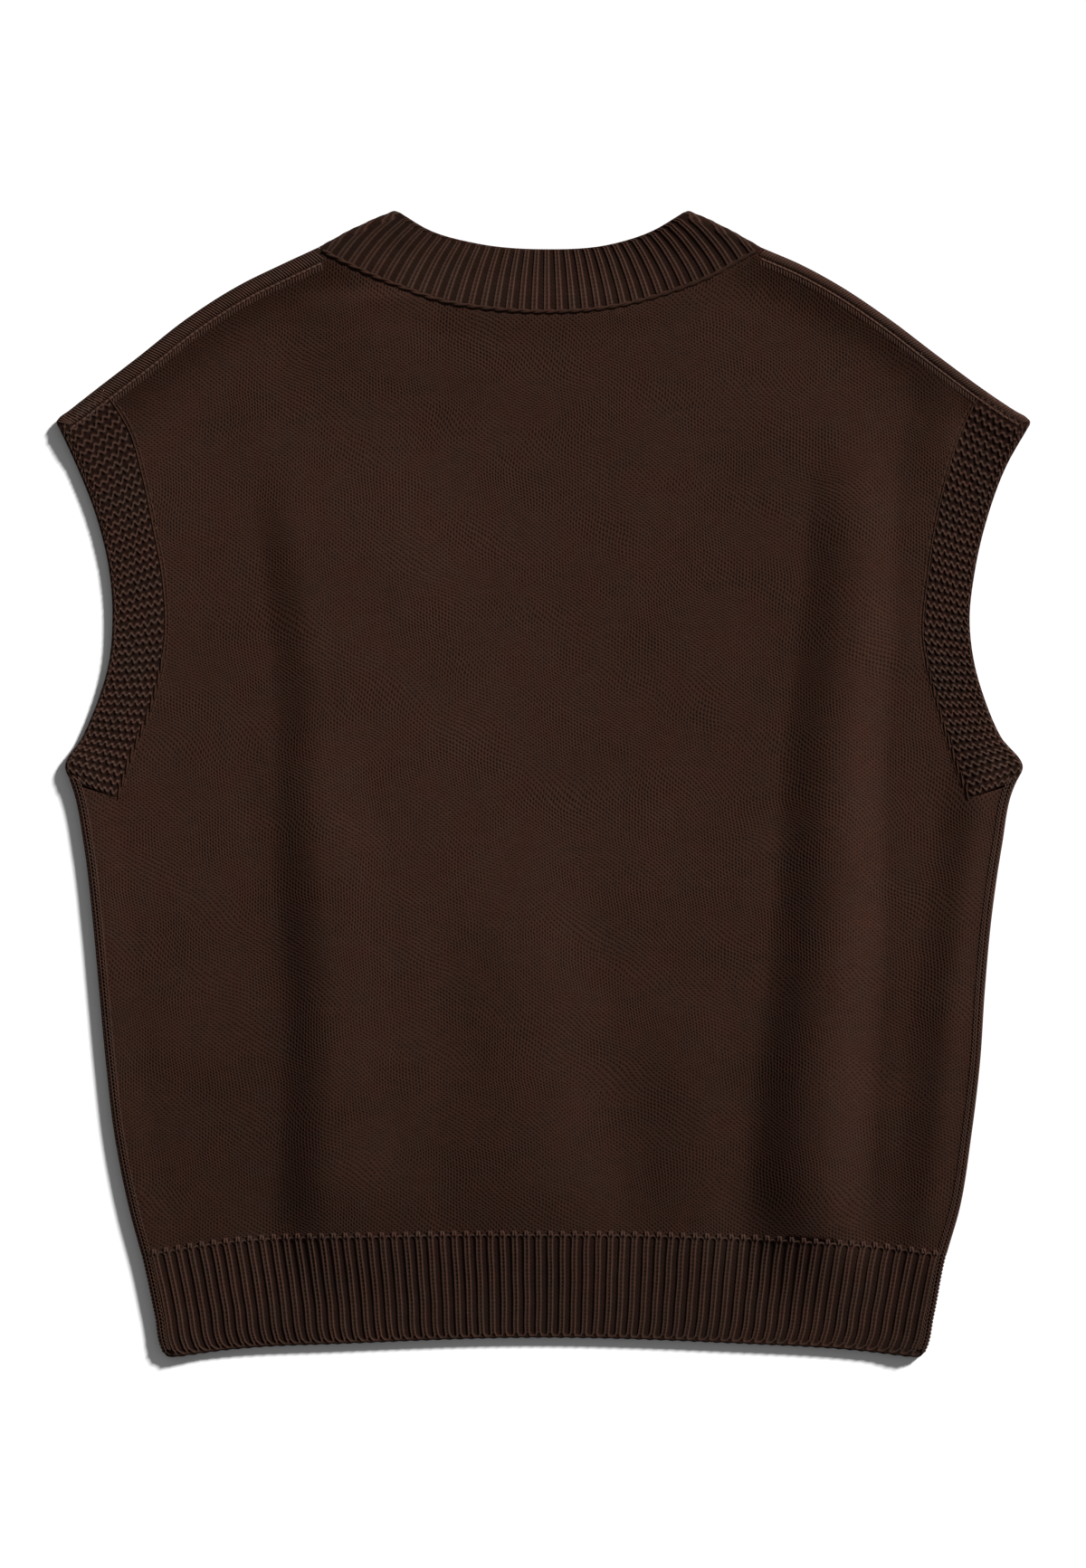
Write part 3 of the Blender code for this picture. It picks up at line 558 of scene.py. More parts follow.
def hem_relief(rib, share_up):
    """Height and tone of the hem's ribs, which wander a little as they lie."""
    up = share_up * HEM_HEIGHT
    pitch = (length(back_hem[0]) * (1 - share_up) + length(back_hem[1]) * share_up) / HEM_RIBS
    sway = 0.02 * wander(0.9 * np.round(rib + 0.5), 0.09 * up)
    swayed = rib + sway * ease(share_up * 8) * ease((1 - share_up) * 8)
    return rib_relief(swayed, pitch, up, HEM_LOW_END, HEM_HIGH_END)


def place_back_hem(column, row, outer):
    """The back hem rib's points, stitches and tones."""
    share_up = row / HEM_COURSES
    column = rib_columns(column)
    plan = between(*back_hem, column / HEM_RIBS, share_up)
    up = share_up * HEM_HEIGHT
    height, tone = hem_relief(column, share_up)
    plan[:, 1] -= 0.4 * np.sin(math.pi * column) ** 2 * ease(1 - up / 2.0)
    thickness = np.where(outer, (WALL + RIB_RAISE * height) * open_edge(up), 0.0)
    return raised(plan, back_inside(plan) + thickness), np.column_stack([column, up / COURSE]), tone


rib_cotton = cotton(
    "rib_cotton", (0.0082, 0.0032, 0.002), (0.058, 0.0305, 0.0225),
    relief=1.0, loop=0.0, hole=0.0, bump_mm=0.15,
)
hem_back = knit_shell("hem_rib_back_knit", (HEM_RIBS, HEM_COURSES), (12, 4), place_back_hem, rib_cotton)
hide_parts("hem_rib_back")

# Back panel. Plain knit in the same cotton, about 160 wales wide, grown straight on from the hem rib and
# shaped at the armholes; it ends at the shoulder seams and the neck seam, a few millimetres on the back.
SHOULDER_SEAM_INSETS = (7.1, 4.4)
STEP_CELLS = 2
SHOULDER_CELLS = 9
NECK_CELLS = 18
BODY_CELLS = 2 * STEP_CELLS + 2 * SHOULDER_CELLS + NECK_CELLS
LOWER_CELLS = 12
UPPER_CELLS = 14
WALE = 3.1
# Darkening of the back under the shoulder seams and how far it reaches: partly painted shade where the cloth
# rolls into the seams, partly the knit's own stretched-open stitches there.
SHOULDER_SEAM_SHADE_AND_TONE = 0.9
SHOULDER_SEAM_SHADE_REACH = 32.0

# Seam between body and armhole band from underarm to shoulder: height, left reach, right reach
ARMHOLE_SEAM = (
    (-7.0, 224.0, 223.5),
    (9.5, 219.0, 217.5),
    (44.5, 205.5, 206.5),
    (76.0, 199.0, 199.5),
    (110.0, 200.5, 202.0),
    (134.0, 205.0, 205.5),
    (160.5, 210.5, 211.5),
    (185.5, 218.0, 219.5),
    (196.5, 224.5, 225.0),
    (207.5, 233.0, 232.0),
)

# Underarm step under the band's end, from the side edge inwards: height, left reach, right reach
UNDERARM_STEP = ((2.0, 247.5, 247.8), (-7.0, 224.0, 223.5))

# Folded edge of the shoulder from the armhole's corner to the neck: height, left reach, right reach
SHOULDER_EDGE = (
    (186.2, 253.3, 253.3),
    (187.8, 254.4, 254.4),
    (189.6, 254.8, 254.7),
    (191.2, 253.8, 253.5),
    (195.5, 248.3, 246.6),
    (205.0, 236.2, 232.4),
    (224.0, 211.5, 206.5),
    (243.0, 187.5, 181.5),
    (262.0, 157.5, 153.0),
    (271.5, 138.0, 135.5),
    (281.0, 117.5, 113.5),
)

# Folded end of the neckband from the shoulder to its peak: height, left reach, right reach
NECK_FOLD = (
    (281.0, 117.5, 113.5),
    (284.0, 112.3, 108.6),
    (290.7, 99.8, 96.4),
    (295.6, 89.2, 86.6),
    (298.6, 81.9, 79.6),
    (300.0, 78.4, 76.2),
    (299.2, 75.6, 73.6),
)

# Neck seams from left to right: across, height
BACK_NECK_SEAM = (
    (-117.5, 281), (-107, 275.5), (-76, 261.5), (-52, 253.5), (-26, 249.5), (2, 248),
    (35, 250.5), (65, 258), (89, 267.5), (104, 276), (113.5, 281),
)
FRONT_NECK_SEAM = ((-117.5, 281), (-103, 244), (-62, 207), (0, 193), (60, 207), (100, 244), (113.5, 281))

neck_seam = {"back": smooth_line(BACK_NECK_SEAM), "front": smooth_line(FRONT_NECK_SEAM)}
linked_seams.append(neck_seam["back"])
for side, seam_inset in zip(sides, SHOULDER_SEAM_INSETS):
    side["seam_inset"] = seam_inset
    for name, table in (
        ("armhole_seam", ARMHOLE_SEAM),
        ("step", UNDERARM_STEP),
        ("shoulder", SHOULDER_EDGE),
        ("neck_fold", NECK_FOLD),
    ):
        side[name] = side_line(side, table)
    folded_edges += [side["shoulder"], side["neck_fold"]]
    side["step_share"] = nearest_share(side["side"], side["step"][0])
    side["step_slant"] = side["step"][-1] - side["step"][0]
    side["seam_share"] = nearest_share(side["shoulder"], side["armhole_seam"][-1])
    side["gap_share"] = SEAM_HALF_GAP / length(side["shoulder"])


def share_inside(line, edge, distance, from_end=False):
    """Share at which a line, followed from one end, gets a distance clear of an edge."""
    away = line[:, None, :] - edge[None, :, :]
    clear = np.hypot(away[:, :, 0], away[:, :, 1]).min(axis=1) >= distance
    first = int(np.argmax(clear[::-1] if from_end else clear)) / (len(line) - 1)
    return 1 - first if from_end else first


def armhole_border(side, inset, clear):
    """Up the armhole seam to the shoulder's folded edge; clear is positive on the body's side."""
    hand = side["hand"]
    seam = side["armhole_seam"]
    stop = share_inside(seam, side["shoulder"], side["seam_inset"], True)
    border = stretch(seam, 0.0, stop, hand, clear)
    border[0] += across(side["step"], 1.0, hand)[0] * clear
    share = side["seam_share"] + side["gap_share"] * np.sign(clear)
    return np.vstack([border, at(side["shoulder"], share) + across(side["shoulder"], share, hand) * inset])


def at_shoulders(clear):
    """Distances from both shoulders' folded edges to a line beside their seams."""
    return [side["seam_inset"] + clear for side in sides]


def neck_border(layer, insets, clear):
    """Along a neck seam from shoulder to shoulder; clear is positive on the body's side."""
    seam = neck_seam[layer]
    start = share_inside(seam, sides[0]["shoulder"], insets[0])
    end = share_inside(seam, sides[1]["shoulder"], insets[1], True)
    return stretch(seam, start, end, -1, clear)


def shoulder_border(side, inset, first, last):
    """Along a shoulder's folded edge from the armhole seam to the neck, between two given corners."""
    end = min(nearest_share(side["shoulder"], last), 1 - 2 * side["gap_share"])
    border = stretch(side["shoulder"], side["seam_share"] + side["gap_share"], end, side["hand"], inset)
    border[0], border[-1] = first, last
    return border


def joined(*parts):
    """One line through several, each given with the number of cells along it, even in cells."""
    lines = [at(line, np.arange(cells * 40) / (cells * 40)) for line, cells in parts]
    return np.vstack([*lines, parts[-1][0][-1:]])


def body_borders(layer, side_inset, insets):
    """The borders of a body panel below and above the underarm."""
    gap = SEAM_HALF_GAP
    left, right = (side_border(side, "body", side_inset)[2] for side in sides)
    armholes = [armhole_border(side, inset, gap) for side, inset in zip(sides, insets)]
    across_line = np.array([armholes[0][0], armholes[1][0]])
    steps = [np.array([left[-1], armholes[0][0]]), np.array([armholes[1][0], right[-1]])]
    middle_cells = 2 * SHOULDER_CELLS + NECK_CELLS
    high = joined((steps[0], STEP_CELLS), (across_line, middle_cells), (steps[1], STEP_CELLS))
    low = between_points(rib_top, left[0], right[0], 1, gap)
    neck = neck_border(layer, insets, gap)
    shoulders = [
        shoulder_border(side, inset, armhole[-1], corner)
        for side, inset, armhole, corner in zip(sides, insets, armholes, (neck[0], neck[-1]))
    ]
    top = joined((shoulders[0], SHOULDER_CELLS), (neck, NECK_CELLS), (shoulders[1][::-1], SHOULDER_CELLS))
    return (low, high, left, right), (across_line, top, *[evened(border) for border in armholes])


def body_plan(borders, column, row):
    """Plan points of a body panel at columns and rows of cells."""
    lower, upper = borders
    below = between(*lower, column / BODY_CELLS, np.minimum(row, LOWER_CELLS) / LOWER_CELLS)
    middle = np.clip((column - STEP_CELLS) / (BODY_CELLS - 2 * STEP_CELLS), 0, 1)
    above = between(*upper, middle, np.clip(row - LOWER_CELLS, 0, UPPER_CELLS) / UPPER_CELLS)
    return np.where((row <= LOWER_CELLS)[:, None], below, above)


back_borders = body_borders("back", SIDE_SEAM_INSET + SEAM_HALF_GAP, at_shoulders(SEAM_HALF_GAP))


def in_body(column, row):
    """Whether a cell lies on a body panel and not beside its armholes."""
    return row < LOWER_CELLS or STEP_CELLS < column < BODY_CELLS - STEP_CELLS


def place_back(column, row, outer):
    """The back panel's points, stitches and tones, darker under the shoulder seams: partly painted shade,
    partly stretched-open knit.
    """
    plan = body_plan(back_borders, column, row)
    points = raised(plan, back_inside(plan) + np.where(outer, WALL, 0.0))
    below = np.minimum(*[edge_distance(plan, side["shoulder"]) - side["seam_inset"] for side in sides])
    return points, plan / (WALE, COURSE), 1 - SHOULDER_SEAM_SHADE_AND_TONE * ease(1 - below / SHOULDER_SEAM_SHADE_REACH)


jersey_cotton = cotton(
    "jersey_cotton", (0.0066, 0.0018, 0.0008), (0.0437, 0.0209, 0.0147),
    relief=0.3, loop=0.5, hole=0.47, bump_mm=0.3,
)
back = knit_shell(
    "back_panel_knit", (BODY_CELLS, LOWER_CELLS + UPPER_CELLS), (6, 6), place_back, jersey_cotton, in_body
)
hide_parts("back_panel")

# Front hem rib. The same ribbing on the front, flat on the ground under the vest; it rolls up round both
# side edges to the side seams on the back.
RIB_CUT = 0.9
WRAP_RIBS = 2
front_hem = hem_borders(FOLD_RADIUS)
hem_wraps = [side_border(side, "rib", FOLD_RADIUS) for side in sides]
hem_seams = [side_border(side, "rib", SIDE_SEAM_INSET - SEAM_HALF_GAP)[2] for side in sides]


def over_edge(edge, inwards, seam, lap, outer, cut):
    """Cloth that rolls from the ground round a folded edge to a seam on top, as lap goes from 0 to 1."""
    arc = math.pi * FOLD_RADIUS
    arc_share = arc / (arc + float(np.mean(np.hypot(*(seam - edge).T))) - FOLD_RADIUS)
    angle = math.pi * (np.minimum(lap / arc_share, 1.0) - 0.5)
    radius = np.where(outer, FOLD_RADIUS - cut, FOLD_RADIUS - WALL)
    plan = edge + inwards * (FOLD_RADIUS - radius * np.cos(angle))[:, None]
    level = FOLD_RADIUS + radius * np.sin(angle)
    flat = np.clip((lap - arc_share) / (1 - arc_share), 0.0, 1.0)[:, None]
    plan = plan + (seam - plan) * flat
    top = back_inside(plan) + np.where(outer, WALL - cut, 0.0)
    return raised(plan, np.where(lap > arc_share, top, level))


def place_front_hem(column, row, outer):
    """The front hem rib's points, stitches and tones."""
    share_up = row / HEM_COURSES
    up = share_up * HEM_HEIGHT
    flat = column - WRAP_RIBS
    height, tone = hem_relief(flat, share_up)
    cut = RIB_CUT * (1 - height)
    plan = between(*front_hem, np.clip(flat / HEM_RIBS, 0, 1), share_up)
    points = raised(plan, np.where(outer, cut, WALL - 0.5 * (1 - open_edge(up))))
    for which, lap in ((0, -flat / WRAP_RIBS), (1, (flat - HEM_RIBS) / WRAP_RIBS)):
        edge, inwards, _ = hem_wraps[which]
        rolled = over_edge(
            at(edge, share_up), at(inwards, share_up), at(hem_seams[which], share_up),
            np.maximum(lap, 0), outer, cut,
        )
        points = np.where((lap > 0)[:, None], rolled, points)
    return points, np.column_stack([flat, up / COURSE]), tone


hem_front = knit_shell(
    "hem_rib_front_knit", (HEM_RIBS + 2 * WRAP_RIBS, HEM_COURSES), (8, 2), place_front_hem, rib_cotton
)
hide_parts("hem_rib_front")

# Front panel. Plain knit in one piece that lies flat under the back; it rolls up round the side edges and
# over the shoulders, and is joined to the back a few millimetres in from the folded edges.
SIDE_WRAP = 1
SHOULDER_WRAP = 2
# Rows this far past the shoulder's edge roll over it; the neck edge lies on the last flat row and stays there
WRAP_START = 0.001
front_borders = body_borders("front", FOLD_RADIUS, (FOLD_RADIUS, FOLD_RADIUS))
front_wraps = [side_border(side, "body", FOLD_RADIUS) for side in sides]
front_seams = [side_border(side, "body", SIDE_SEAM_INSET - SEAM_HALF_GAP)[2] for side in sides]
shoulder_seams = []
neck_corners = neck_border("back", at_shoulders(-SEAM_HALF_GAP), SEAM_HALF_GAP)
for side, corner in zip(sides, (neck_corners[0], neck_corners[-1])):
    armhole = armhole_border(side, side["seam_inset"] - SEAM_HALF_GAP, SEAM_HALF_GAP)
    shoulder_seams.append(shoulder_border(side, side["seam_inset"] - SEAM_HALF_GAP, armhole[-1], corner))


def in_front(column, row):
    """Whether a cell lies on the front panel or on one of its rolled edges."""
    flat = column - SIDE_WRAP
    if row < LOWER_CELLS:
        return True
    if row < LOWER_CELLS + UPPER_CELLS:
        return STEP_CELLS < flat < BODY_CELLS - STEP_CELLS
    return 0 < min(flat, BODY_CELLS - flat) - STEP_CELLS < SHOULDER_CELLS


def place_front(column, row, outer):
    """The front panel's points, stitches and tones."""
    flat = column - SIDE_WRAP
    plan = body_plan(front_borders, np.clip(flat, 0, BODY_CELLS), row)
    points = raised(plan, np.where(outer, 0.0, WALL))
    shares_up = np.clip(row / LOWER_CELLS, 0, 1)
    over_shoulder = (row - LOWER_CELLS - UPPER_CELLS) / SHOULDER_WRAP
    for which, beyond in ((0, -flat), (1, flat - BODY_CELLS)):
        edge, inwards, _ = front_wraps[which]
        lap = np.maximum(beyond / SIDE_WRAP, 0)
        rolled = over_edge(
            at(edge, shares_up), at(inwards, shares_up), at(front_seams[which], shares_up), lap, outer, 0.0
        )
        points = np.where((beyond > 0)[:, None], rolled, points)
        side = sides[which]
        from_armhole = (flat if which == 0 else BODY_CELLS - flat) - STEP_CELLS
        inwards_share = np.clip(from_armhole, 0, SHOULDER_CELLS) / SHOULDER_CELLS
        start = side["seam_share"] + side["gap_share"]
        share = start + (1 - 2 * side["gap_share"] - start) * inwards_share
        here = (over_shoulder > WRAP_START) & ((flat < BODY_CELLS / 2) == (which == 0))
        lap = np.maximum(over_shoulder, 0)
        rolled = over_edge(
            at(side["shoulder"], share), across(side["shoulder"], share, side["hand"]),
            at(shoulder_seams[which], inwards_share), lap, outer, 0.0,
        )
        points = np.where(here[:, None], rolled, points)
    course = plan[:, 1] / COURSE + np.maximum(over_shoulder, 0) * 6
    # Over the shoulder the tone falls to the dark ground: painted shade in the gaps between the seam stitches
    # laid over it.
    return points, np.column_stack([flat * 4, course]), 1 - ease(over_shoulder * 4)


front = knit_shell(
    "front_panel_knit", (BODY_CELLS + 2 * SIDE_WRAP, LOWER_CELLS + UPPER_CELLS + SHOULDER_WRAP), (6, 6),
    place_front, jersey_cotton, in_front,
)
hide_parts("front_panel")

# Neckband. One by one rib in a closed loop, linked to back and front and folded at the two neck points;
# its ribs run up to a plain open edge and lean outwards towards the shoulders.
NECK_RIBS = 36
FRONT_NECK_RIBS = 49.2
NECK_TURN = 1.4
BAND_COURSES = 15
LEAN_RIBS = 3.0
BACK_NECK_EDGE = ((-75.6, 299.2), (-60, 290), (-35, 283), (0, 280), (35, 282.5), (57, 289.5), (73.6, 299.2))
FRONT_NECK_EDGE = ((-75.6, 299.2), (-69, 262), (-42, 233), (0, 223), (41, 233), (67, 262), (73.6, 299.2))
PEAK_ROUNDING = 0.012
# Tone of the ribs at the neckband's ends, what its middle has more, and how far that reaches. The darker ends
# are painted shade in the valleys of ribs that lie along the key light there.
NECK_TONE = (0.74, 0.27, 70.0)
neck_edge = {"back": smooth_line(BACK_NECK_EDGE), "front": smooth_line(FRONT_NECK_EDGE)}


def slanted(line, hand, from_end, slant):
    """Directions inwards from a folded edge, turned over its last tenth into the direction of the cut end."""
    share = np.linspace(0.0, 1.0, len(line))
    weight = ease(1 - (1 - share if from_end else share) * 10)[:, None]
    inwards = across(line, share, hand) * (1 - weight) + slant / np.hypot(*slant) * weight
    return inwards / np.hypot(*inwards.T)[:, None]


neck_folds = []
top_edge = neck_edge["back"]
for side, slant in zip(sides, (top_edge[30] - top_edge[0], top_edge[-31] - top_edge[-1])):
    fold = stretch(side["neck_fold"], 0.001, 1.0)
    neck_folds.append((fold, slanted(fold, side["hand"], True, slant)))


def band_borders(layer, insets):
    """Seam line, open edge and the two folded ends of one layer of the neckband."""
    left, right = (edge + inwards * FOLD_RADIUS for edge, inwards in neck_folds)
    seam = neck_border(layer, insets, -SEAM_HALF_GAP)
    low = evened(np.vstack([left[:1], seam, right[:1]]))
    line = neck_edge[layer]
    start = nearest_share(line, left[-1]) + PEAK_ROUNDING
    end = nearest_share(line, right[-1]) - PEAK_ROUNDING
    high = stretch(line, start, end)
    high[0], high[-1] = left[-1], right[-1]
    return low, high, left, right


band = {
    "back": band_borders("back", at_shoulders(SEAM_HALF_GAP)),
    "front": band_borders("front", (FOLD_RADIUS, FOLD_RADIUS)),
}


def turned(edge, inwards, turn, outer, proud):
    """Cloth that rolls down round a folded edge, as turn goes from 0 on top to 1 below."""
    angle = math.pi * (0.5 - np.clip(turn, 0.0, 1.0))
    radius = np.where(outer, FOLD_RADIUS + proud, FOLD_RADIUS - WALL)
    plan = edge + inwards * (FOLD_RADIUS - radius * np.cos(angle))[:, None]
    return raised(plan, FOLD_RADIUS + radius * np.sin(angle))


def over_fold(on_top, below, turn):
    """How far raised knit stands out of cloth that rolls from the top to below, flatter on the way."""
    turn = np.clip(turn, 0.0, 1.0)
    return (on_top * (1 - turn) + below * turn) * (1 - 0.75 * np.sin(math.pi * turn))


def leaned(column, share_up):
    """Place of a rib round the neckband: further up, the ribs beside each fold lean over it to the front."""
    half_back, half_loop = NECK_RIBS / 2, (NECK_RIBS + FRONT_NECK_RIBS) / 2 + NECK_TURN
    lean = LEAN_RIBS * share_up
    from_middle = (column - half_back + half_loop) % (2 * half_loop) - half_loop
    away = np.abs(from_middle)
    front = half_loop - half_back - NECK_TURN
    on_back = away * half_back / (half_back - lean)
    on_front = half_loop - (half_loop - away) * front / (front + lean)
    on_turn = np.where(away < half_back + NECK_TURN - lean, away + lean, on_front)
    away = np.where(away < half_back - lean, on_back, on_turn)
    return (half_back + np.sign(from_middle) * away) % (2 * half_loop)


def place_neckband(column, row, outer):
    """The neckband's points, stitches and tones: back, right fold, front, left fold."""
    share_up = row / BAND_COURSES
    column = rib_columns(column)
    rib = leaned(column, share_up)
    lines = band["back"]
    width = np.hypot(*(at(lines[1], rib / NECK_RIBS) - at(lines[0], rib / NECK_RIBS)).T)
    drawn = length(lines[1]) / (NECK_RIBS - 2 * LEAN_RIBS)
    pitch = length(lines[0]) / NECK_RIBS * (1 - share_up) + drawn * share_up
    height, tone = rib_relief(column, pitch, share_up * width, -1e3, 1e3)
    on_top = 0.8 * RIB_RAISE * height
    below = -RIB_CUT * (1 - height)
    thin = open_edge((1 - share_up) * width)
    plan = between(*lines, np.clip(rib / NECK_RIBS, 0, 1), share_up)
    points = raised(plan, back_inside(plan) + np.where(outer, (WALL + on_top) * thin, 0.0))
    start = NECK_RIBS
    turn = (rib - start) / NECK_TURN
    edge, inwards = neck_folds[1]
    rolled = turned(at(edge, share_up), at(inwards, share_up), turn, outer, over_fold(on_top, below, turn))
    points = np.where((turn > 0)[:, None], rolled, points)
    start += NECK_TURN
    lower = (rib - start) / FRONT_NECK_RIBS
    plan = between(*band["front"], np.clip(1 - lower, 0, 1), share_up)
    points = np.where((lower > 0)[:, None], raised(plan, np.where(outer, -below, WALL)), points)
    start += FRONT_NECK_RIBS
    turn = 1 - (rib - start) / NECK_TURN
    edge, inwards = neck_folds[0]
    rolled = turned(at(edge, share_up), at(inwards, share_up), turn, outer, over_fold(on_top, below, turn))
    points = np.where((rib > start)[:, None], rolled, points)
    # Deeper valleys throughout and darker ends near the folds: painted shade in the ribs.
    tone = tone**1.2 * (NECK_TONE[0] + NECK_TONE[1] * bell(points[:, 0], NECK_TONE[2]))
    return points, np.column_stack([column, share_up * BAND_COURSES]), tone


neckband = knit_shell(
    "neckband_knit", (round(NECK_RIBS + FRONT_NECK_RIBS + 2 * NECK_TURN), BAND_COURSES), (12, 4),
    place_neckband, rib_cotton, loop=True,
)
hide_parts("neckband")

# Armhole bands. A strip of garter stitch for each armhole, knitted from the back underarm over the shoulder
# to the front underarm, sewn to the body along one side and open along the other. Its rows cross the strip.
GARTER_RIDGES = 45
SHOULDER_TURN = 2
BAND_STITCHES = 8
GARTER_RAISE = 0.95
GARTER_CUT = 0.8
SHOULDER_SHADE = 26

# Open edge of the armhole from underarm to shoulder: height, left reach, right reach
ARMHOLE_EDGE = (
    (2.0, 247.5, 247.8),
    (7.5, 250.0, 250.5),
    (25.0, 241.0, 239.0),
    (44.0, 233.0, 231.0),
    (63.0, 227.5, 225.5),
    (86.0, 225.5, 223.0),
    (110.0, 227.0, 225.5),
    (138.5, 233.5, 232.0),
    (167.0, 244.5, 242.5),
    (186.2, 253.3, 253.3),
)


def garter_relief(ridge, stitch):
    """Height and tone of garter stitch, whose ridges are rows of purl loops: strands that wind to and fro."""
    away = ridge - np.round(ridge - 0.5) - 0.5
    wave = np.cos(2 * math.pi * stitch)
    steep = np.sqrt(1 + 3.1 * (1 - wave**2))
    strand = bell(away - 0.2 * wave, 0.12 * steep)
    height = strand * (0.75 + 0.25 * wave**2)
    return height, 0.03 + strand * (0.5 + 0.5 * wave**4)


def build_armhole_band(name, side):
    """One armhole band as a closed wall of garter stitch."""
    hand = side["hand"]
    open_line = side_line(side, ARMHOLE_EDGE)
    side["armhole_edge"] = open_line
    shoulder_end = side["seam_share"] - side["gap_share"]
    corner_shares = np.linspace(0.0, shoulder_end, 300)
    corner = at(side["shoulder"], corner_shares)
    corner_inwards = slanted(corner, hand, False, open_line[-31] - open_line[-1])
    right = corner + corner_inwards * FOLD_RADIUS
    high = evened(armhole_border(side, FOLD_RADIUS, -SEAM_HALF_GAP))
    low = stretch(open_line, 0.0, share_inside(open_line, side["shoulder"], FOLD_RADIUS, True))
    low[0] = (at(side["step"], 0.0) - across(side["step"], 0.0, hand) * SEAM_HALF_GAP)[0]
    left = np.array([low[0], high[0]])
    low[-1], high[-1] = right[0], right[-1]

    def place(column, row, outer):
        share = row / BAND_STITCHES
        uneven = 0.13 * wander(2.1 * row + hand, 1.7 * np.floor(column)) * ease(2 - 2 * np.abs(2 * share - 1))
        height, tone = garter_relief(column + uneven, row + 0.3 * np.sin(1.3 * np.floor(column)))
        width = share * length(left)
        turn = (column - GARTER_RIDGES) / SHOULDER_TURN
        calm = (0.15 + 0.85 * ease(width / 2.5)) * (0.35 + 0.65 * ease(np.abs(turn - 0.5) - 0.5))
        on_top = GARTER_RAISE * height * calm
        below = -GARTER_CUT * (1 - height) * calm
        along_upper = np.clip(column / GARTER_RIDGES, 0, 1)
        plan = between(low, high, left, right, along_upper, share)
        points = raised(plan, back_inside(plan) + np.where(outer, (WALL + on_top) * open_edge(width), 0.0))
        proud = over_fold(on_top, below, turn)
        rolled = turned(at(corner, share), at(corner_inwards, share), turn, outer, proud)
        points = np.where((turn > 0)[:, None], rolled, points)
        along_lower = 1 - (column - GARTER_RIDGES - SHOULDER_TURN) / GARTER_RIDGES
        plan = between(low, high, left, right, np.clip(along_lower, 0, 1), share)
        points = np.where((turn > 1)[:, None], raised(plan, np.where(outer, -below, WALL)), points)
        from_shoulder = np.abs(column - GARTER_RIDGES - SHOULDER_TURN / 2)
        tone = tone * (0.8 + 0.2 * ease(from_shoulder / SHOULDER_SHADE))
        return points, np.column_stack([row, column * 2]), tone

    return knit_shell(name, (2 * GARTER_RIDGES + SHOULDER_TURN, BAND_STITCHES), (10, 8), place, garter_cotton)


garter_cotton = cotton(
    "garter_cotton", (0.0078, 0.0028, 0.0017), (0.079, 0.0435, 0.0337),
    relief=1.0, loop=0.0, hole=0.0, bump_mm=0.15,
)
for name, side in zip(("armhole_band_left", "armhole_band_right"), sides):
    piece = build_armhole_band(name + "_knit", side)
    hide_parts(name)

# Seams. The pieces are linked with the same yarn: chains along the side seams, the front's knit drawn
# slantwise over each shoulder with a line of stitches under it, tufts where the hem rib ends, a twisted cord
# along the back neck, a selvedge along each armhole seam and cast-off loops along the bands' open edges.
def yarn_cotton(name, tone, crest):
    """The same cotton as single loops of yarn, at one given tone."""
    material = bpy.data.materials.new(name)
    material.use_nodes = True
    tree = material.node_tree
    dye_and_shade = tree.nodes.new("ShaderNodeGroup")
    dye_and_shade.node_tree = dye_and_shade_group
    dye_and_shade.inputs["Tone"].default_value = tone
    dye_and_shade.inputs["Ground"].default_value = (0.0065, 0.0024, 0.0015, 1.0)
    dye_and_shade.inputs["Crest"].default_value = (*crest, 1.0)
    scaled = tree.nodes.new("ShaderNodeVectorMath")
    scaled.operation = "SCALE"
    scaled.inputs["Scale"].default_value = 400.0
    tree.links.new(tree.nodes.new("ShaderNodeTexCoord").outputs["Object"], scaled.inputs[0])
    tree.links.new(scaled.outputs[0], dye_and_shade.inputs["Stitch"])
    tree.links.new(dye_and_shade.outputs["Color"], tree.nodes["Principled BSDF"].inputs["Base Color"])
    matt(tree.nodes["Principled BSDF"])
    return material


seam_yarn = yarn_cotton("seam_yarn", 0.8, (0.062, 0.0335, 0.0255))
body_yarn = yarn_cotton("body_yarn", 0.55, (0.054, 0.0262, 0.0185))
strip_yarn = yarn_cotton("strip_yarn", 0.64, (0.062, 0.033, 0.0248))
# The shoulders' stitch lines are lighter: their own light line of stitches, plus a painted highlight for the
# rise they lack, since they lie almost flush in the cloth.
line_yarn = yarn_cotton("line_yarn", 0.82, (0.07, 0.038, 0.029))
cord_yarn = yarn_cotton("cord_yarn", 0.42, (0.054, 0.0262, 0.0185))


def surface(plan):
    """Height of the top of the cloth over places in plan, also on its rolled edges."""
    near = np.minimum.reduce([edge_distance(plan, edge) for edge in folded_edges])
    inside = np.clip(FOLD_RADIUS - near, 0.0, FOLD_RADIUS)
    rolled = FOLD_RADIUS + np.sqrt(FOLD_RADIUS**2 - inside**2)
    return np.where(near < FOLD_RADIUS, rolled, back_inside(plan) + WALL)


bm = bmesh.new()
bmesh.ops.create_uvsphere(bm, u_segments=6, v_segments=7, radius=0.5)
one_loop = bpy.data.meshes.new("one_loop")
bm.to_mesh(one_loop)
loop_form = np.array([vert.co for vert in bm.verts])
loop_form[:, :2] /= np.sqrt(np.maximum(np.hypot(*loop_form[:, :2].T), 0.01) * 2)[:, None]
bm.free()


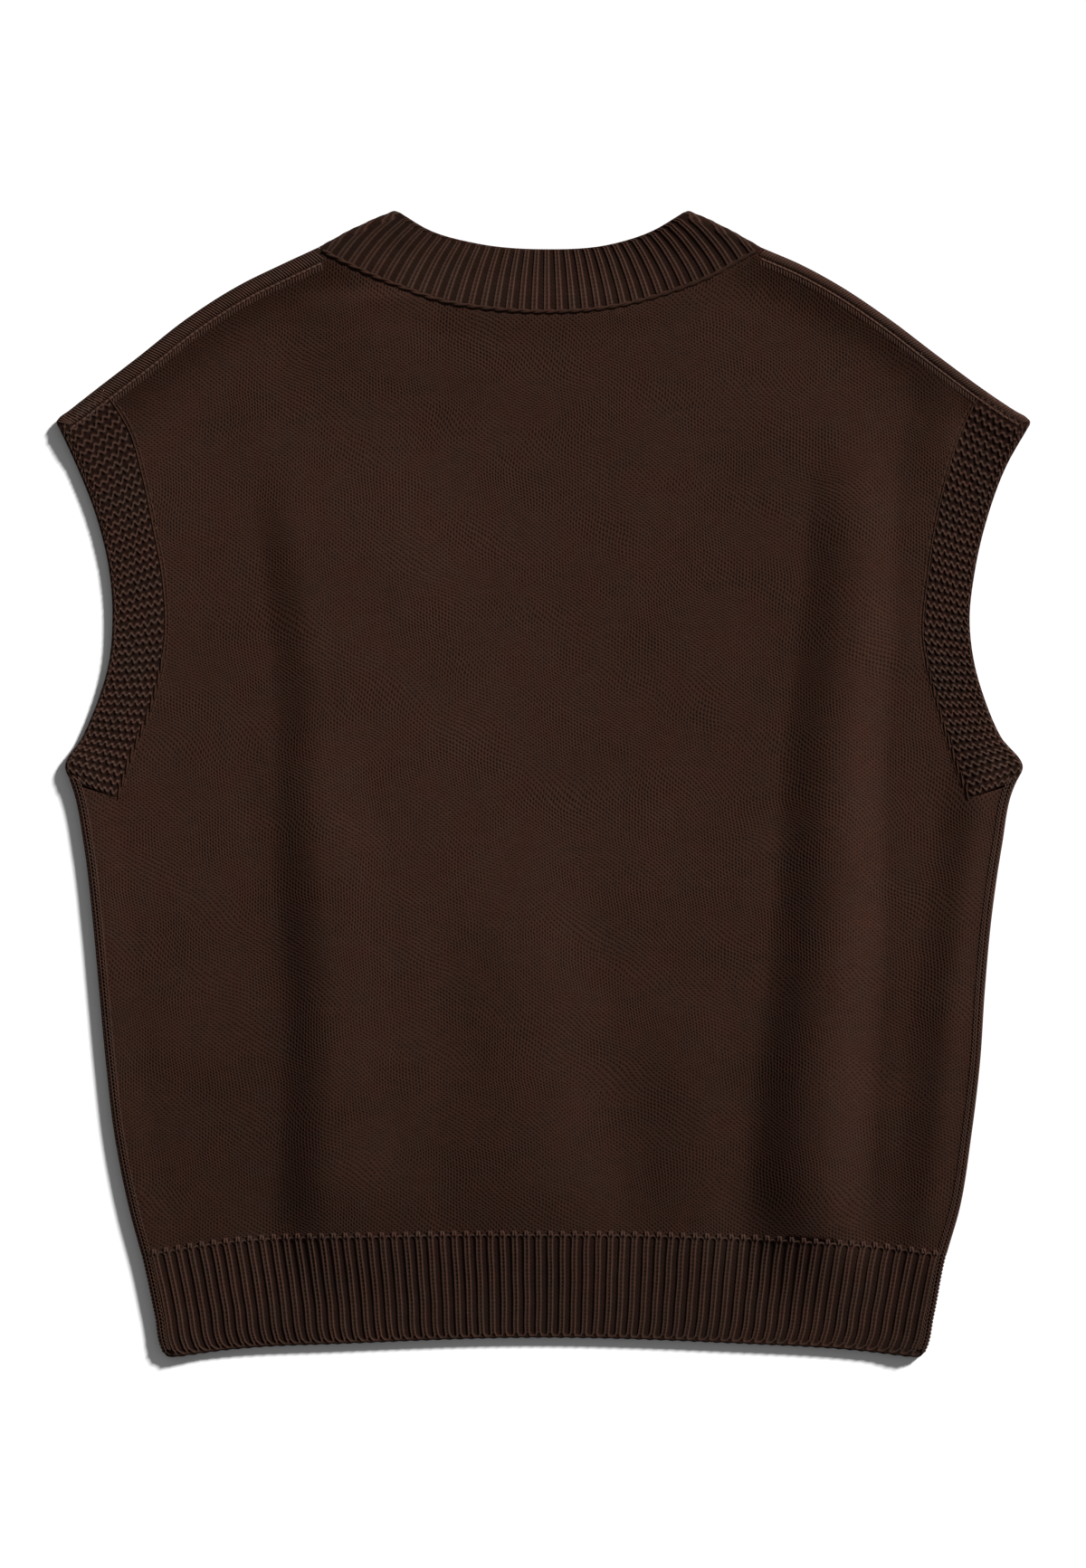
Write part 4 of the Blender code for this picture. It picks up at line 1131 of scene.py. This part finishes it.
def lay_stitches(bm, middles, directions, long, thick, proud):
    """Single loops of yarn, drawn as slim rounded pieces that follow the cloth they lie on."""
    directions = directions / np.hypot(*directions.T)[:, None]
    sideways = np.column_stack([-directions[:, 1], directions[:, 0]])
    spine = middles[:, None, :] + directions[:, None, :] * (loop_form[None, :, 2:] * long)
    level = surface(spine.reshape(-1, 2)).reshape(spine.shape[:2]) + thick * (proud + loop_form[None, :, 1])
    plan = spine + sideways[:, None, :] * (loop_form[None, :, :1] * thick) + (PLAN_SHIFT, 0.0)
    for points in np.dstack([plan, level]) * MM:
        one_loop.vertices.foreach_set("co", points.ravel())
        bm.from_mesh(one_loop)


def along(line, pitch, first=0.0, last=1.0, hand=1, clear=0.0):
    """Even places along part of a line, moved to one side, with the line's and the side's directions."""
    count = max(2, int(round(length(line) * (last - first) / pitch)))
    share = first + (last - first) * (np.arange(count) + 0.5) / count
    inwards = across(line, share, hand)
    forwards = np.column_stack([inwards[:, 1], -inwards[:, 0]]) * hand
    return at(line, share) + inwards * clear, forwards, inwards


def finished_seam(name, bm, yarn):
    """A seam's stitches as one piece with smooth faces."""
    for face in bm.faces:
        face.smooth = True
    piece = finished(name, bm, yarn)
    return piece


CHAIN_PITCH = 2.0
# Distance of a stitch column from the folded edge, how far it stands out
CHAINS = ((1.4, 0.1), (4.2, 0.15))
LEG_SPREAD = 0.55
for name, side in zip(("side_seam_left", "side_seam_right"), sides):
    bm = bmesh.new()
    line, last = side["side"], side["step_share"]
    for inset, proud in CHAINS:
        places, forwards, inwards = along(line, CHAIN_PITCH, 0.012, last, side["hand"], inset)
        for lean in (-1, 1):
            slants = forwards + inwards * (0.42 * lean)
            legs = places + inwards * (lean * LEG_SPREAD)
            lay_stitches(bm, legs, slants, long=2.6, thick=1.0, proud=proud)
    finished_seam(name, bm, strip_yarn)

STRIP_PITCH = 1.5
STRIP_SLANT = 0.5
SHOULDER_WALE = 3.3
WALE_LEG = 0.8
LINE_PITCH = 3.0
for name, side in zip(("shoulder_seam_left", "shoulder_seam_right"), sides):
    bm = bmesh.new()
    line, hand, inset = side["shoulder"], side["hand"], side["seam_inset"]
    places, forwards, inwards = along(line, STRIP_PITCH, 0.03, 0.99, hand, 0.2 + inset / 2)
    slants = inwards + forwards * STRIP_SLANT
    lay_stitches(bm, places, slants, long=1.1 * inset + 0.4, thick=1.15, proud=0.0)
    first = side["seam_share"] + 0.006
    places, forwards, inwards = along(line, SHOULDER_WALE, first, 0.985, hand, inset + 3.6)
    for lean in (-1, 1):
        legs = places + forwards * (lean * WALE_LEG)
        slants = np.array([[0.06 * lean, -1.0]]) + 0 * places
        lay_stitches(bm, legs, slants, long=3.3, thick=0.95, proud=-0.12)
    finished_seam(name, bm, strip_yarn)
    bm = bmesh.new()
    places, forwards, inwards = along(line, LINE_PITCH, 0.05, 0.985, hand, inset + 1.5)
    lay_stitches(bm, places, forwards, long=3.3, thick=1.5, proud=-0.15)
    finished_seam(name.replace("seam", "stitch_line"), bm, line_yarn)

TUFT_LEG = 0.66
bm = bmesh.new()
shares = (np.arange(HEM_RIBS) + 0.5) / HEM_RIBS
tops = at(back_hem[1], shares)
for lean in (-1, 1):
    legs = tops + (TUFT_LEG * lean, 0.1)
    slants = np.array([[-0.12 * lean, 1.0]]) + 0 * tops
    lay_stitches(bm, legs, slants, long=3.2, thick=1.6, proud=0.35)
finished_seam("hem_rib_tufts", bm, seam_yarn)

# Body knit beside its seams. Where the panel is linked to the neckband and the armhole bands its stitches are
# drawn long: straight up the wales under the neck seam, and along the seam beside the armholes.
bm = bmesh.new()
neck_line = stretch(neck_seam["back"], 0.0, 1.0)
places, forwards, inwards = along(neck_line, WALE / 2, 0.03, 0.97, -1, 3.3)
uneven = wander(places[:, 0] * 0.9, places[:, 1] * 0.7)[:, None]
slants = inwards * 0.25 + np.array([[0.0, -0.75]]) + forwards * (0.12 * uneven)
lay_stitches(bm, places + inwards * (0.8 * uneven), slants, long=4.8, thick=0.85, proud=-0.38)
DRAWN_LOOP = 4.4
for side in sides:
    line, hand = side["armhole_seam"], side["hand"]
    stop = share_inside(line, side["shoulder"], side["seam_inset"] + 1.5, True)
    places, forwards, inwards = along(line, DRAWN_LOOP * 0.93, 0.03, stop, hand, 2.6)
    uneven = wander(places[:, 0] * 0.8, places[:, 1] * 0.6)[:, None]
    slants = forwards + inwards * (0.05 * uneven)
    lay_stitches(bm, places + forwards * uneven, slants, long=DRAWN_LOOP, thick=1.0, proud=-0.2)
finished_seam("drawn_stitches", bm, body_yarn)


def strand(bm, path, radius, squash):
    """A round strand along a path of points, closed at its ends."""
    rings, around = len(path), 8
    made = bmesh.ops.create_grid(bm, x_segments=rings - 1, y_segments=around, size=0.5)["verts"]
    ahead = np.gradient(path, axis=0)
    flat = np.column_stack([-ahead[:, 1], ahead[:, 0]]) / np.hypot(ahead[:, 0], ahead[:, 1])[:, None]
    for vert in made:
        ring = int(round((vert.co.x + 0.5) * (rings - 1)))
        turn = 2 * math.pi * (vert.co.y + 0.5)
        sideways = radius * math.cos(turn)
        vert.co = (
            (path[ring][0] + flat[ring][0] * sideways) * MM,
            (path[ring][1] + flat[ring][1] * sideways) * MM,
            (path[ring][2] + radius * squash * math.sin(turn)) * MM,
        )
    bmesh.ops.remove_doubles(bm, verts=made, dist=1e-7)
    bmesh.ops.holes_fill(bm, edges=[edge for edge in bm.edges if edge.is_boundary])


ROPE_PITCH = 14.0
bm = bmesh.new()
rope_share = np.linspace(0.012, 0.988, 420)
rope_line = at(neck_line, rope_share) + across(neck_line, rope_share, -1) * 0.9
rope_run = rope_share * length(neck_line)
for phase in (0.0, math.pi):
    turn = 2 * math.pi * rope_run / ROPE_PITCH + phase + 0.8 * np.sin(rope_run / 21.0)
    plan = rope_line + across(neck_line, rope_share, -1) * (0.5 * np.cos(turn))[:, None]
    level = surface(rope_line) + 0.3 + 0.3 * np.sin(turn)
    strand(bm, raised(plan + (PLAN_SHIFT, 0.0), level), 0.72, 0.7)
bmesh.ops.recalc_face_normals(bm, faces=bm.faces)
finished_seam("neck_seam_cord", bm, cord_yarn)

# Place on the armhole seam up to which the body is cast off in steps: across, height
STEPS_END = (201.0, 66.0)
STEP_PITCH = 7.2
SELVEDGE_PITCH = 3.0
CAST_OFF_PITCH = 2.6
for name, side in zip(("armhole_seam_left", "armhole_seam_right"), sides):
    bm = bmesh.new()
    line, hand = side["armhole_seam"], side["hand"]
    stepped = nearest_share(line, (hand * STEPS_END[0], STEPS_END[1]))
    stop = share_inside(line, side["shoulder"], side["seam_inset"], True)
    places, forwards, inwards = along(line, SELVEDGE_PITCH, stepped, stop, hand, 0.9)
    lay_stitches(bm, places, forwards, long=3.6, thick=0.95, proud=0.0)
    places, forwards, inwards = along(line, STEP_PITCH, 0.0, stepped, hand, 1.1)
    slants = forwards * 0.35 + np.array([[0.0, 0.65]])
    lay_stitches(bm, places, slants, long=8.4, thick=1.0, proud=0.2)
    finished_seam(name, bm, body_yarn)
    bm = bmesh.new()
    places, forwards, inwards = along(side["armhole_edge"], CAST_OFF_PITCH, 0.02, 0.97, hand, 1.4)
    lay_stitches(bm, places, forwards + inwards * 0.3, long=2.4, thick=1.0, proud=0.0)
    finished_seam(name.replace("seam", "cast_off"), bm, strip_yarn)

# Ground, light and camera. A white ground, a soft key light from the upper right at the height of a studio
# lamp near the table, a pale fill from all round, and a camera straight above the vest as in the photo.
GROUND_REACH = 6.0
PHOTO_WIDTH_MM = 568.7
PHOTO_SHAPE = 1733 / 1200
CAMERA_HEIGHT = 3.2
SENSOR = 36.0
KEY_ELEVATION = 27.5
KEY_AZIMUTH = 43.0
KEY_STRENGTH = 7.2
KEY_SOFTNESS = 9.0
FILL = 0.17

bm = bmesh.new()
bmesh.ops.create_grid(bm, x_segments=8, y_segments=8, size=GROUND_REACH)
mesh = bpy.data.meshes.new("ground")
bm.to_mesh(mesh)
bm.free()
ground = bpy.data.objects.new("ground", mesh)
bpy.context.scene.collection.objects.link(ground)
paper = bpy.data.materials.new("ground_paper")
paper.use_nodes = True
paper.node_tree.nodes["Principled BSDF"].inputs["Base Color"].default_value = (0.93, 0.93, 0.93, 1.0)
paper.node_tree.nodes["Principled BSDF"].inputs["Roughness"].default_value = 0.9
mesh.materials.append(paper)

key = bpy.data.objects.new("key_light", bpy.data.lights.new("key_light", "SUN"))
key.data.energy = KEY_STRENGTH
key.data.angle = math.radians(KEY_SOFTNESS)
towards_key = Vector((
    math.cos(math.radians(KEY_ELEVATION)) * math.cos(math.radians(KEY_AZIMUTH)),
    math.cos(math.radians(KEY_ELEVATION)) * math.sin(math.radians(KEY_AZIMUTH)),
    math.sin(math.radians(KEY_ELEVATION)),
))
key.rotation_euler = towards_key.to_track_quat("Z", "Y").to_euler()
bpy.context.scene.collection.objects.link(key)

world = bpy.data.worlds.new("studio")
world.use_nodes = True
world.node_tree.nodes["Background"].inputs["Color"].default_value = (1.0, 1.0, 1.0, 1.0)
world.node_tree.nodes["Background"].inputs["Strength"].default_value = FILL
bpy.context.scene.world = world
bpy.context.scene.view_settings.view_transform = "Standard"

camera = bpy.data.objects.new("camera", bpy.data.cameras.new("camera"))
camera.data.sensor_width = SENSOR
camera.data.lens = SENSOR * CAMERA_HEIGHT / (PHOTO_WIDTH_MM * PHOTO_SHAPE * MM)
camera.location = (0.0, 0.0, CAMERA_HEIGHT)
bpy.context.scene.collection.objects.link(camera)
bpy.context.scene.camera = camera
